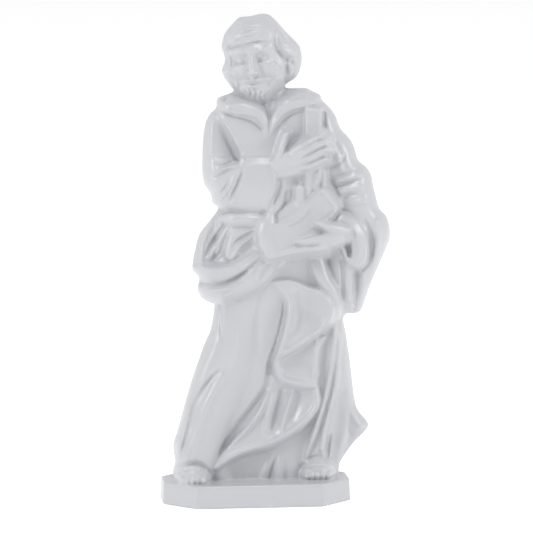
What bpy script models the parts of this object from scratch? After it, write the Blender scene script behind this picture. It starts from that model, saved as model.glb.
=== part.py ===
"""A small devotional figure of a bearded carpenter, moulded in one piece with its low eight-sided base.

The figure is carved as a relief in the drawing of its front: every form has a place across and up in
that drawing, and a depth out of the plane where the two halves of the mould meet. A plainer relief
makes the back. All lengths are in millimetres until the last step.
"""
from math import cos, radians, sin

import bmesh
import bpy
import numpy as np

NAME = "saint_joseph_statue"
PLASTIC_COLOUR = (0.72, 0.74, 0.77, 1.0)
PLASTIC_ROUGHNESS = 0.3

# the base
BASE_WIDTH = 37.9
BASE_DEPTH = 19.1
BASE_THICKNESS = 4.56
BASE_CORNER = 6.2       # cut off along each side at the corners
BASE_LEAN = 0.24        # how far the sides lean in at the top

# the figure above the top of the base; its forms keep their shares of this height
FIGURE_HEIGHT = 93.5
DRAWN_HEIGHT = 93.5
DRAWN_FLOOR = 4.56
BURIED = 2.7            # how far the hem and the feet reach down into the base

# how the drawing of the figure is seen: from a little to the left and above
SIGHT_DISTANCE = 1000.0
SIGHT_TURN = 6.4
SIGHT_DIP = 8.6
MIDDLE_ACROSS = 2.3
MIDDLE_UP = 47.3

# how finely the figure is carved
HALF_SLAB = 4.0         # half of the slab that the outline starts as
SLAB_SKIN = 0.4         # the slab's outer layer that all moves out to the carved surface
DRAWN_STEP = 0.42
CARVED_STEP = 0.36
FACES = 8000

WALL = 2.4              # how steeply a form falls away past its edge
ROUNDED = 0.96          # share of a form's half width that is round, before it falls straight
LINE_STEPS = 6          # straight steps between two points of a smooth line
EDGE_REACH = 2.6        # how far in from the outline the surface rounds up
PARTING = 0.2           # how far the surface stands off the parting plane at the outline
BALL_RIM = 0.08         # share of an ellipsoid's height squared where it turns to a straight wall
BALL_REACH = 1.5        # how far that wall goes on, in the same shares


def smooth_line(points, closed=False):
    """A Catmull-Rom line through the points, with whatever values they carry."""
    points = np.array(points, float)
    if len(points) < 3 and not closed:
        shares = np.linspace(0, 1, LINE_STEPS + 1)[:, None]
        return points[0] + (points[-1] - points[0]) * shares
    if closed:
        padded = np.vstack([points[-1:], points, points[:2]])
    else:
        padded = np.vstack([2 * points[0] - points[1], points, 2 * points[-1] - points[-2]])
    line = []
    for p0, p1, p2, p3 in zip(padded, padded[1:], padded[2:], padded[3:]):
        for i in range(LINE_STEPS):
            t = i / LINE_STEPS
            bend = (2 * p0 - 5 * p1 + 4 * p2 - p3) * t**2 + (3 * p1 - p0 - 3 * p2 + p3) * t**3
            line.append(0.5 * (2 * p1 + (p2 - p0) * t + bend))
    if not closed:
        line.append(points[-1])
    return np.array(line)


def beside(line, a, h):
    """Each point's distance from the line, the side it lies on, and the line's values there."""
    start, run = line[:-1], line[1:] - line[:-1]
    lengths = np.hypot(run[:, 0], run[:, 1])
    across, up = a[:, None] - start[:, 0], h[:, None] - start[:, 1]
    share = np.clip((across * run[:, 0] + up * run[:, 1]) / (lengths**2 + 1e-12), 0, 1)
    gap_a, gap_h = across - share * run[:, 0], up - share * run[:, 1]
    k = (gap_a**2 + gap_h**2).argmin(axis=1)
    n = np.arange(len(a))
    share = share[n, k]
    distance = np.hypot(gap_a[n, k], gap_h[n, k])
    side = np.sign(run[k, 0] * up[n, k] - run[k, 1] * across[n, k])
    return distance, side, start[k] + share[:, None] * run[k]


def inside(outline, a, h):
    """True for the points inside a closed outline."""
    x1, y1 = outline[:, 0], outline[:, 1]
    x2, y2 = np.roll(x1, -1), np.roll(y1, -1)
    within = np.zeros(len(a), bool)
    for xa, ya, xb, yb in zip(x1, y1, x2, y2):
        if ya == yb:
            continue
        crosses = (ya > h) != (yb > h)
        within ^= crosses & (a < (xb - xa) * (h - ya) / (yb - ya) + xa)
    return within


def bulge(squares):
    """The thin plate's own function of the squared distance."""
    return 0.5 * squares * np.log(squares + 1e-9)


def sheet_through(points):
    """A smooth surface through the (across, up, out) points, as a function: level for one point, a
    straight ramp for two, a plane for three and a thin plate for more."""
    points = np.array(points, float)
    xy, z = points[:, :2], points[:, 2]
    if len(points) == 1:
        return lambda a, h: np.full(len(a), z[0])
    if len(points) == 2:
        run = (xy[1] - xy[0]) / ((xy[1] - xy[0]) @ (xy[1] - xy[0]))
        return lambda a, h: z[0] + (z[1] - z[0]) * ((a - xy[0, 0]) * run[0] + (h - xy[0, 1]) * run[1])
    flat = np.column_stack([np.ones(len(xy)), xy])
    if len(points) == 3:
        plane = np.linalg.solve(flat, z)
        return lambda a, h: plane[0] + plane[1] * a + plane[2] * h
    gaps = ((xy[:, None] - xy[None]) ** 2).sum(2)
    system = np.block([[bulge(gaps), flat], [flat.T, np.zeros((3, 3))]])
    weights = np.linalg.solve(system, np.concatenate([z, np.zeros(3)]))

    def height(a, h):
        total = weights[-3] + weights[-2] * a + weights[-1] * h
        for (pa, ph), w in zip(xy, weights):
            total = total + w * bulge((a - pa) ** 2 + (h - ph) ** 2)
        return total

    return height


def blended(x, y, k):
    """The larger of two depths, rounded into each other over k."""
    share = np.clip(0.5 + 0.5 * (x - y) / k, 0, 1)
    return y + (x - y) * share + k * share * (1 - share)


class Clay:
    """The depth of the surface in front of the middle plane, at each point of the drawing."""

    def __init__(self, across, up, out=0.0):
        self.a, self.h = across, up
        self.out = np.full(len(across), float(out))

    def near(self, line, reach):
        low, high = line[:, :2].min(axis=0) - reach, line[:, :2].max(axis=0) + reach
        level = (self.h > low[1]) & (self.h < high[1])
        return np.nonzero(level & (self.a > low[0]) & (self.a < high[0]))[0]

    def rod(self, points, blend=0.4):
        """A rounded form along a line of (across, up, crest, half width[, drop])."""
        line = smooth_line(points)
        if line.shape[1] == 4:
            line = np.column_stack([line, line[:, 3]])
        n = self.near(line, line[:, 3].max() + 3.0)
        d, _, at = beside(line, self.a[n], self.h[n])
        crest, width, drop = at[:, 2], np.maximum(at[:, 3], 0.05), at[:, 4]
        x = np.minimum(d / width, ROUNDED)
        top = crest - drop * (1 - np.sqrt(1 - x**2)) - np.maximum(d - ROUNDED * width, 0) * WALL
        self.out[n] = blended(self.out[n], top, blend)

    def fold(self, points, width=1.0, steep=0.0):
        """A raised or (below 0) sunk stroke along (across, up, height[, half width]). Steep narrows its
        left (+) or right (-) side."""
        line = smooth_line(points)
        if line.shape[1] == 3:
            line = np.column_stack([line, np.full(len(line), width)])
        n = self.near(line, line[:, 3].max() + 0.1)
        d, side, at = beside(line, self.a[n], self.h[n])
        reach = np.maximum(at[:, 3], 0.05) * (1 - 0.75 * np.clip(side * steep, 0, 1))
        x = np.clip(d / reach, 0, 1)
        self.out[n] += at[:, 2] * (1 - x**2) ** 2

    def depth_inside(self, outline, sharp):
        """The points near an outline, and how far inside it each one lies (below 0 outside)."""
        closed = np.array(outline, float) if sharp else smooth_line(outline, closed=True)
        ring = np.vstack([closed, closed[:1]])
        n = self.near(ring, 2.0)
        d = beside(ring, self.a[n], self.h[n])[0]
        return n, np.where(inside(closed, self.a[n], self.h[n]), d, -d)

    def panel(self, outline, surface, edge=0.8, blend=0.35, sharp=False):
        """A layer with this outline, whose top is the smooth surface through some points, with a
        rounded edge."""
        n, s = self.depth_inside(outline, sharp)
        top = sheet_through(surface)(self.a[n], self.h[n])
        into = np.clip(edge - s, 0, edge)
        top = top - edge + np.sqrt(edge**2 - into**2) - np.maximum(-s, 0) * WALL
        self.out[n] = blended(self.out[n], top, blend)

    def pit(self, outline, surface, edge=0.6, blend=0.2):
        """A hollow with this outline, down to the smooth surface through some points."""
        n, s = self.depth_inside(outline, False)
        floor = sheet_through(surface)(self.a[n], self.h[n])
        into = np.clip(edge - s, 0, edge)
        floor = floor + edge - np.sqrt(edge**2 - into**2) + np.maximum(-s, 0) * WALL
        self.out[n] = -blended(-self.out[n], -floor, blend)

    def dome(self, at, size, blend=0.4):
        """An ellipsoid's front: its crest at (across, up, out) and its half axes across, up and out."""
        r = np.hypot((self.a - at[0]) / size[0], (self.h - at[1]) / size[1])
        n = np.nonzero(r < 2.5)[0]
        r = r[n]
        inner = np.minimum(r, ROUNDED)
        fall = np.maximum(r - ROUNDED, 0) * min(size[0], size[1]) * WALL
        self.out[n] = blended(self.out[n], at[2] - size[2] * (1 - np.sqrt(1 - inner**2)) - fall, blend)


# the outline in the drawing, as (across, up), down one side of the figure and up the other
OUTLINE = {
    "crown": [(1.6, 97.9), (-1.0, 97.4), (-3.0, 97.2), (-4.0, 96.4), (-6.0, 94.0)],
    "temple and jaw": [(-6.7, 91.4), (-6.4, 90.2), (-6.0, 88.6), (-6.6, 86.6), (-6.2, 85.2),
                       (-4.6, 83.0), (-4.2, 82.4)],
    "near shoulder": [(-5.4, 81.8), (-7.3, 81.1), (-7.7, 80.2), (-7.8, 79.0), (-9.2, 77.6),
                      (-10.1, 75.2)],
    "near sleeve": [(-10.5, 71.6), (-10.6, 66.6), (-10.2, 64.0), (-8.9, 61.8), (-8.5, 60.1),
                    (-7.4, 59.0)],
    "cloak at the near hip": [(-8.8, 56.8), (-11.0, 54.0), (-11.9, 51.2), (-12.6, 47.4), (-12.3, 46.4),
                              (-11.2, 45.0), (-11.5, 42.8), (-10.6, 41.0), (-9.0, 40.1), (-8.2, 39.9)],
    "near leg": [(-8.2, 39.0), (-8.9, 34.8), (-10.4, 31.2), (-12.5, 25.2), (-14.0, 20.2), (-15.4, 15.0),
                 (-16.3, 12.2)],
    "near foot": [(-16.3, 10.2), (-16.0, 8.4), (-16.4, 6.6), (-16.2, 3.0), (-15.0, -3.0)],
    "far foot": [(15.6, -3.0), (16.6, 3.0), (16.8, 7.4), (17.6, 9.2)],
    "flaring hem": [(19.8, 12.2), (21.8, 14.2), (22.6, 15.5), (22.2, 16.6), (20.4, 19.0), (19.6, 23.0)],
    "far leg": [(19.0, 28.2), (18.2, 33.6), (17.7, 36.6), (18.2, 37.8)],
    "cloak from the far arm": [(20.2, 38.0), (21.4, 39.0), (22.8, 43.0), (25.0, 48.2), (26.8, 52.6),
                               (26.9, 55.0)],
    "far sleeve": [(26.2, 57.4), (24.8, 59.0), (24.2, 61.2), (23.6, 63.6), (23.2, 65.6), (22.2, 67.2),
                   (20.6, 68.6)],
    "far shoulder": [(19.8, 71.2), (18.8, 73.0), (17.0, 75.0), (16.0, 77.6), (14.4, 79.6), (13.3, 80.6),
                     (13.0, 81.6)],
    "collar": [(11.4, 82.4), (10.0, 83.0), (6.4, 83.0), (5.9, 83.5), (6.6, 84.1)],
    "curls": [(8.4, 85.4), (9.3, 88.2), (9.0, 91.0), (8.2, 92.2), (6.2, 94.2), (4.6, 96.0), (3.2, 97.4)],
}


def outline():
    return smooth_line(sum(OUTLINE.values(), []), closed=True)


def turned(yaw, pitch, roll):
    """Columns: the head's own right, up and out, in the drawing's across, up and out."""
    y, p, r = np.radians([yaw, pitch, roll])
    ry = np.array([[np.cos(y), 0, np.sin(y)], [0, 1, 0], [-np.sin(y), 0, np.cos(y)]])
    rx = np.array([[1, 0, 0], [0, np.cos(p), -np.sin(p)], [0, np.sin(p), np.cos(p)]])
    rz = np.array([[np.cos(r), -np.sin(r), 0], [np.sin(r), np.cos(r), 0], [0, 0, 1]])
    return rz @ ry @ rx


def ball(clay, centre, radii, axes, blend, side):
    """The front (side 1) or back (side -1) of an ellipsoid turned by axes."""
    m = axes @ np.diag(1 / np.array(radii, float) ** 2) @ axes.T
    da, dh = clay.a - centre[0], clay.h - centre[1]
    b = (m[0, 2] * da + m[1, 2] * dh) / m[2, 2]
    c = (m[0, 0] * da**2 + 2 * m[0, 1] * da * dh + m[1, 1] * dh**2 - 1) / m[2, 2]
    disc = b * b - c
    scale = 1 / m[2, 2]
    floor = BALL_RIM * scale
    z = np.where(disc > floor, -side * b + np.sqrt(np.maximum(disc, floor)),
                 -side * b + np.sqrt(floor) + (disc - floor) / (2 * np.sqrt(floor)))
    near = disc > -BALL_REACH * scale
    top = side * centre[2] + z
    clay.out = np.where(near, blended(clay.out, top, blend), clay.out)


def masses(c):
    """The big forms under the cloth."""
    c.rod([(2.5, 81, 3.2, 5, 2.5), (3, 76, 4.6, 9, 3), (3.5, 66, 5.4, 11, 3), (3.5, 56, 5.6, 11.5, 3),
           (3.5, 46, 5.8, 11.5, 3), (3, 36, 5.2, 11.5, 3), (2.5, 26, 4.5, 12.5, 2.6),
           (2, 16, 3.6, 14, 2), (1.5, 6, 3.2, 15, 1.6), (1.5, -3, 3.2, 15, 1.6)], blend=1.0)
    # far arm and the cloak that hangs from it
    c.rod([(11.5, 79, 3.8, 3.6, 2.0), (14.5, 74, 4.4, 5.2, 2.6), (17.6, 67, 5.0, 6.0, 2.8),
           (20.6, 60.5, 5.6, 6.0, 2.8), (22.4, 55, 5.4, 5.4, 2.8)], blend=0.8)
    c.rod([(23.6, 58, 4.0, 3.4, 2), (24.2, 53, 4.0, 3.2, 2), (22.6, 47, 3.8, 3.2, 2),
           (21.0, 41, 3.4, 2.4, 1.6), (20, 38, 3.0, 2, 1.5)], blend=0.8)
    c.rod([(17.4, 52, 4.8, 3.2, 2), (17.6, 44, 4.8, 3.2, 2), (17.6, 37, 3.8, 2.6, 1.6)], blend=1.0)
    # near arm: upper arm
    c.rod([(-5.5, 79.5, 2.8, 2.6, 2), (-7.6, 76, 3.6, 3.2, 2.4), (-7.6, 71, 4.4, 3.6, 2.6),
           (-6.8, 66, 5.6, 4.2, 3), (-5.6, 62.5, 6.2, 3.8, 3)], blend=0.6)
    # side cloak at the near hip
    c.rod([(-7.2, 58.5, 2.6, 2.6, 1.8), (-8.6, 54.5, 3.0, 3.6, 2.0), (-9.2, 50.5, 3.4, 3.8, 2.0),
           (-9.4, 47, 4.0, 3.6, 2.0)], blend=1.0)
    # near leg, out to its foot
    c.rod([(-2.6, 46, 5.0, 6.4, 4), (-4.0, 38, 5.6, 5.6, 4), (-5.6, 30, 6.2, 6.0, 4),
           (-8.6, 22, 6.2, 6.0, 4), (-11.2, 14, 6.2, 5.4, 4), (-12.2, 8, 6.6, 4.6, 3.6)], blend=1.0)
    # far leg
    c.rod([(11, 46, 4.4, 6.0, 3), (13, 36, 4.4, 5.4, 3), (14.2, 27, 4.2, 5.0, 3),
           (14.6, 18, 4.2, 4.6, 3), (13.6, 10, 4.2, 3.8, 3), (12.8, 7, 4.4, 3.6, 3)], blend=1.0)
    c.rod([(17.2, 36, 2.6, 2.6, 1.6), (18.0, 28, 2.6, 2.6, 1.6), (18.6, 21, 2.4, 3.2, 1.6),
           (20.4, 15.8, 2.2, 2.4, 1.4)], blend=0.6)


def skirt(c):
    """The robe over the legs."""
    # hollow between the legs, under the cloak's edge
    c.fold([(5.0, 24, -0.2, 5), (2.5, 18, -0.4, 5.5), (0.5, 12, -0.5, 5.5), (-0.5, 7, -0.5, 5),
            (-0.5, 4, -0.5, 5)])
    # thigh: light plane, and the turn of the cloth beside it
    c.fold([(-3.3, 40, 0.25, 1.2), (-3.5, 34, 0.3, 1.4), (-3.9, 29, 0.25, 1.6), (-4.8, 25.6, 0.05, 1.6)])
    c.fold([(-6.8, 39.8, -0.35, 0.5), (-6.8, 34.6, -0.4, 0.5), (-6.4, 32.4, -0.05, 0.5)])
    c.fold([(-7.5, 39.6, 0.2, 0.6), (-7.6, 35, 0.25, 0.6), (-8.2, 31.5, 0.1, 0.6)])
    c.fold([(1.2, 41.5, -0.3, 1.0), (0.6, 36, -0.35, 1.2), (0.4, 30, -0.1, 1.2)])
    # the deep crease over the shin, and the shin's ridge
    c.fold([(-6.6, 26.8, -0.05, 0.8), (-7.6, 26, -0.4, 1.0), (-8.8, 24.8, -0.7, 1.1),
            (-9.8, 23.4, -0.8, 1.3), (-11, 21.4, -0.8, 1.5), (-11.9, 19.6, -0.8, 1.5),
            (-12.4, 17.6, -0.8, 1.5), (-12.9, 15.6, -0.8, 1.5), (-13.5, 13.6, -0.7, 1.3),
            (-14.2, 11.2, -0.8, 1.1), (-14.8, 9.4, -0.4, 0.9)], steep=-0.4)
    c.fold([(-5.6, 26.2, 0.1, 1.2), (-6.6, 24.6, 0.4, 1.3), (-8, 22.2, 0.5, 1.4), (-9.4, 19.6, 0.5, 1.4),
            (-10.4, 16.6, 0.45, 1.4), (-11.4, 12.6, 0.4, 1.3), (-11.8, 9.6, 0.3, 1.2)])
    c.fold([(-9.6, 29.5, 0.1, 1.0), (-11.4, 25.5, 0.45, 1.1), (-13, 21.2, 0.5, 1.1),
            (-13.9, 17, 0.45, 1.0), (-14.8, 13, 0.4, 1.0), (-15.4, 9.6, 0.3, 0.9)])
    # the long diagonal groove to the middle
    c.fold([(3.0, 27.6, -0.4, 1.0), (2.6, 23.6, -0.6, 1.1), (1.0, 21, -0.8, 1.2),
            (-1.0, 18.2, -0.8, 1.3), (-3.0, 15.8, -0.7, 1.3), (-4.6, 13.4, -0.6, 1.3),
            (-6.0, 11.2, -0.5, 1.3), (-7.2, 9.4, -0.3, 1.2), (-8.2, 7.6, -0.2, 1.1)], steep=0.2)
    # far leg: two sharp ridges, the groove between, and the outer flare
    c.fold([(16.2, 37.5, 0.4, 0.8), (15.7, 31.6, 0.7, 0.85), (15.2, 26.6, 0.9, 0.85),
            (14.2, 21.6, 1.1, 0.9), (13.0, 17.6, 1.4, 0.95), (11.8, 13.6, 1.4, 1.0),
            (10.6, 10.6, 1.1, 0.9), (10.0, 8.4, 0.8, 0.8)])
    c.fold([(17.5, 37, 0.4, 0.7), (16.8, 30.6, 0.7, 0.75), (16.2, 23.6, 0.9, 0.8),
            (15.1, 18.6, 1.2, 0.85), (14.1, 14.6, 1.2, 0.9), (13.3, 10.8, 0.9, 0.9)])
    c.fold([(17.2, 22, -0.5, 1.6), (16.6, 18.5, -0.9, 2.2), (16.2, 15, -1.3, 2.6),
            (15.6, 11.5, -1.6, 2.4), (15.3, 8.5, -1.2, 1.8)])
    c.fold([(14.9, 13.5, -0.6, 0.6), (14.5, 11.2, -1.0, 0.7), (14.3, 9.2, -0.8, 0.6)])
    c.fold([(17.9, 31, 0.3, 0.8), (18.4, 25.6, 0.5, 0.9), (19.0, 21.6, 0.6, 1.0), (19.6, 18.2, 0.7, 1.2),
            (21.2, 15.6, 0.7, 1.2)])
    # hem between the feet
    c.fold([(3.2, 9.6, 0.05, 0.8), (2.4, 7.4, 0.4, 1.1), (1.6, 5.4, 0.5, 1.2), (1.2, 3.4, 0.5, 1.2)],
           steep=-0.3)
    c.fold([(4.4, 9.4, -0.1, 0.5), (3.8, 7.6, -0.4, 0.6), (3.2, 5.4, -0.5, 0.7), (3.0, 3.4, -0.5, 0.7)])
    c.rod([(5.3, 9.6, 3.4, 0.7, 0.9), (5.0, 7.4, 3.8, 1.1, 1.1), (4.8, 3.0, 4.1, 1.3, 1.1)], blend=0.5)
    c.rod([(7.6, 7.0, 3.5, 1.5, 0.9), (7.7, 3.0, 3.9, 1.7, 0.9)], blend=0.5)
    c.fold([(9.5, 7.4, -0.4, 0.5), (9.5, 3.0, -0.9, 0.5)])
    c.rod([(-7.2, 8.2, 4.4, 1.6, 1.6), (-6.9, 5.4, 4.3, 2.0, 1.6), (-6.6, 2.4, 4.2, 2.2, 1.6)],
          blend=1.0)


def feet(c):
    c.fold([(-14.9, 7.6, -0.5, 0.7), (-12.6, 7.9, -1.0, 0.8), (-11, 7.7, -1.0, 0.8),
            (-9.6, 6.4, -0.8, 0.8), (-9.2, 4.5, -0.6, 0.8)])
    c.dome((-12.4, 4.9, 7.6), (3.1, 2.5, 3.0), blend=0.3)
    for k in range(5):
        c.dome((-14.6 + 1.08 * k, 4.45 + 0.02 * k, 7.9 + 0.1 * k), (0.62, 0.8, 0.8), blend=0.12)
    c.fold([(-9.9, 6.8, 0.5, 0.5), (-9.9, 4.2, 0.6, 0.5)])
    c.dome((12.6, 6.3, 5.8), (3.1, 2.9, 3.0), blend=0.3)
    for k in range(5):
        c.dome((10.3 + 1.1 * k, 5.3 + 0.05 * k, 6.3), (0.56, 0.8, 0.9), blend=0.08)
    c.fold([(9.8, 7.2, 0.35, 0.45), (12.6, 7.7, 0.4, 0.45), (15.4, 7.3, 0.35, 0.45)])
    c.fold([(9.9, 8.6, -0.25, 0.5), (12.6, 9.4, -0.5, 0.5), (15.0, 8.6, -0.35, 0.5)])


def bundle(c):
    """The cloak gathered across the hips in thick rolls."""
    c.rod([(-11.4, 46.2, 5.0, 1.6, 1.5), (-7.8, 45.6, 6.4, 2.0, 1.8), (-4.4, 46.2, 7.0, 2.0, 1.8),
           (-1.6, 47.8, 7.2, 2.1, 1.8), (1.0, 49.6, 7.0, 1.9, 1.6)], blend=0.4)
    c.rod([(-10.6, 42.4, 5.2, 1.5, 1.5), (-6.8, 42.2, 6.8, 2.1, 2.0), (-3.6, 43.2, 7.2, 2.4, 2.2),
           (-0.4, 45.0, 7.4, 2.8, 2.2), (2.6, 47.2, 7.4, 2.2, 1.8), (5.6, 48.8, 7.0, 1.4, 1.4)],
          blend=0.4)
    c.fold([(-11.4, 46.9, 0.2, 0.6), (-8.5, 46.8, 0.4, 0.65), (-5.2, 47.0, 0.4, 0.65),
            (-1.8, 48.7, 0.35, 0.6), (1.0, 50.6, 0.2, 0.5)])
    c.fold([(-9.4, 43.2, -0.2, 0.4), (-7.6, 43.5, -0.5, 0.5), (-5.4, 44.1, -0.75, 0.55),
            (-3.0, 45.5, -0.75, 0.55), (-0.8, 47.3, -0.5, 0.5), (1.2, 49.0, -0.15, 0.4)])
    c.fold([(-9.4, 42.3, 0.2, 0.5), (-6.8, 42.6, 0.45, 0.55), (-4.2, 43.6, 0.5, 0.55),
            (-2.4, 44.9, 0.4, 0.5), (-1.0, 46.1, 0.1, 0.5)])
    c.fold([(-8.8, 41.0, 0.2, 0.55), (-6.6, 41.2, 0.3, 0.6), (-4.6, 42.0, 0.2, 0.6)])
    c.fold([(-1.1, 46.8, 0.25, 0.5), (-0.5, 45.2, 0.3, 0.5), (-0.4, 44.2, 0.1, 0.5)])
    c.fold([(2.8, 48.2, -0.15, 0.7), (1.7, 46.6, -0.5, 0.85), (1.0, 44.9, -0.45, 0.7)])
    c.fold([(2.2, 44.4, 0.15, 0.5), (3.4, 45.8, 0.4, 0.6), (4.8, 47.6, 0.15, 0.5)])


def cascade(c):
    """The cloak's edge falling in lobes from under the far hand."""
    # third lobe, lowest
    c.panel([(3.0, 24.4), (1.6, 21.4), (-0.4, 18.2), (-2.8, 15.0), (-5.0, 12.0), (-7.0, 9.6),
             (-8.4, 7.4), (-7.6, 6.6), (-4.2, 8.8), (0, 10.2), (3, 11.0), (5.4, 12.2), (8, 13.9),
             (10.4, 15.8), (12.4, 18.2), (13.2, 20.6), (12.9, 22.8), (12.0, 26), (8, 27)],
            [(2.6, 22, 3.8), (-2.5, 13.6, 3.8), (-7.4, 7.6, 5.4), (3, 12.0, 4.8), (8.4, 15.2, 5.2),
             (12.4, 20, 5.4), (8, 24, 4.2), (5, 17, 3.8)], edge=0.9)
    c.fold([(2.6, 22, 0.5, 0.6), (0.9, 18.2, 1.0, 0.8), (-1.0, 15.6, 1.0, 0.8), (-2.8, 13.6, 0.8, 0.8),
            (-5.0, 11.4, 0.3, 0.8)])
    c.fold([(3.6, 22.0, 0.2, 0.8), (2.4, 17.6, 0.4, 1.0), (1.8, 14.0, 0.3, 0.9)])
    c.fold([(5.4, 22.4, -0.5, 0.8), (4.6, 18.6, -0.9, 1.0), (3.8, 15.4, -0.7, 0.9),
            (3.3, 13.2, -0.1, 0.7)])
    c.fold([(7.6, 22.4, 0.5, 0.6), (6.5, 19.0, 1.0, 0.8), (5.7, 16.4, 0.8, 0.8), (5.0, 14.0, 0.2, 0.8)])
    c.fold([(9.0, 22, -0.5, 1.2), (8.4, 19.4, -0.5, 1.3), (7.4, 16.8, -0.2, 1.1)])
    c.fold([(12.2, 26, 0.3, 0.9), (12.2, 23, 0.5, 0.9), (12.5, 20.6, 0.6, 0.9), (11.6, 18.4, 0.6, 0.9),
            (9.6, 16.3, 0.55, 0.9), (7.2, 14.5, 0.5, 0.85), (4.4, 12.8, 0.45, 0.8),
            (1.4, 11.6, 0.4, 0.8), (-1.8, 10.6, 0.4, 0.8), (-4.6, 9.4, 0.3, 0.8),
            (-6.8, 8.0, 0.1, 0.7)])
    # second lobe
    c.panel([(4.6, 31.0), (3.6, 28.6), (3.6, 27.0), (4.2, 25.0), (5.5, 23.8), (7.4, 23.2), (9.4, 23.0),
             (11.6, 23.0), (12.7, 25), (12.8, 28), (13.2, 31), (14, 33.6), (9, 33)], [(3.8, 27.6, 5.4),
        (5.6, 24.6, 5.9), (9.4, 23.8, 5.9), (12.2, 25, 5.5), (12.6, 30, 5.3), (8, 28.5, 4.4),
        (5.4, 31, 5.4), (10.6, 32.4, 5.0)], edge=0.7)
    c.fold([(4.9, 29.6, 0.3, 0.8), (4.6, 27.4, 0.6, 0.9), (5.2, 25.4, 0.65, 0.9), (6.8, 24.4, 0.6, 0.9),
            (9.2, 24.0, 0.5, 0.9), (11.6, 24.0, 0.2, 0.8)])
    c.fold([(12.2, 33.4, 0.2, 0.6), (12.1, 29, 0.45, 0.7), (12.1, 25, 0.4, 0.7)])
    # first lobe, right under the hand
    c.panel([(3.2, 44.2), (5, 44.7), (7, 44.8), (9, 44.1), (11, 43.1), (13, 42.5), (14.5, 41.5),
             (15.6, 39.9), (15.8, 38.2), (15.2, 36.5), (13.7, 34.8), (11.5, 33.0), (9.5, 31.6),
             (7.7, 30.4), (6.1, 29.4), (4.0, 28.6), (4.6, 31.6), (5.5, 34.6), (6.2, 37.6), (6.2, 40.0),
             (5.0, 42.4)], [(4, 44, 6.0), (9, 43.8, 6.8), (14, 41.4, 7.2), (15.2, 37.6, 6.8),
                            (11, 33.6, 6.4), (5.4, 30, 6.2), (7.2, 38, 6.8), (10.6, 38.6, 5.6)],
            edge=0.6)
    c.fold([(3.4, 44.2, 0.1, 0.5), (5, 44.4, 0.3, 0.5), (7, 44.4, 0.35, 0.5), (9, 43.7, 0.35, 0.55),
            (11, 42.7, 0.35, 0.6), (13, 42, 0.4, 0.7), (14.4, 40.9, 0.45, 0.8), (15.1, 39.4, 0.45, 0.8),
            (15.0, 37.6, 0.5, 0.9), (13.8, 35.8, 0.5, 0.9), (11.8, 34, 0.45, 0.85),
            (9.4, 32.3, 0.4, 0.8), (7.0, 30.8, 0.35, 0.7), (5.2, 29.8, 0.2, 0.6)])
    c.fold([(7.2, 41.0, 0.3, 0.6), (7.0, 37.6, 0.65, 0.75), (6.3, 34.6, 0.75, 0.75),
            (5.4, 31.6, 0.7, 0.75), (4.7, 29.6, 0.4, 0.7)])
    c.fold([(8.6, 41.5, -0.3, 1.2), (8.6, 37.6, -0.45, 1.4), (8.0, 34.4, -0.3, 1.2)])
    c.fold([(6.2, 42, -0.2, 0.5), (5.9, 38.6, -0.4, 0.6), (5.2, 34.6, -0.5, 0.7), (4.4, 31.6, -0.5, 0.8),
            (3.2, 28.6, -0.6, 0.8), (2.9, 26, -0.5, 0.8)])
    # fold that leads from the hand to the lobe's outer side, and the gaps beside it
    c.fold([(14.4, 50, -0.4, 0.8), (14.4, 47.4, -0.6, 0.8), (15.2, 44.6, -0.4, 0.6),
            (16.0, 43.0, -0.1, 0.4)])
    c.rod([(11.8, 50, 5.6, 1.4, 1.0), (12.6, 47.2, 6.2, 1.5, 1.0), (13.7, 44.4, 6.6, 1.3, 1.0),
           (15.2, 42.2, 6.8, 1.2, 1.0), (16.1, 40, 6.4, 0.9, 0.9), (16.3, 37.8, 5.6, 0.7, 0.8)],
          blend=0.3)
    c.fold([(14.7, 34.8, -0.2, 0.5), (14.0, 31.6, -0.4, 0.6), (13.6, 28.6, -0.4, 0.6),
            (13.5, 25.6, -0.3, 0.5), (13.6, 23.4, -0.1, 0.5)])


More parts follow.
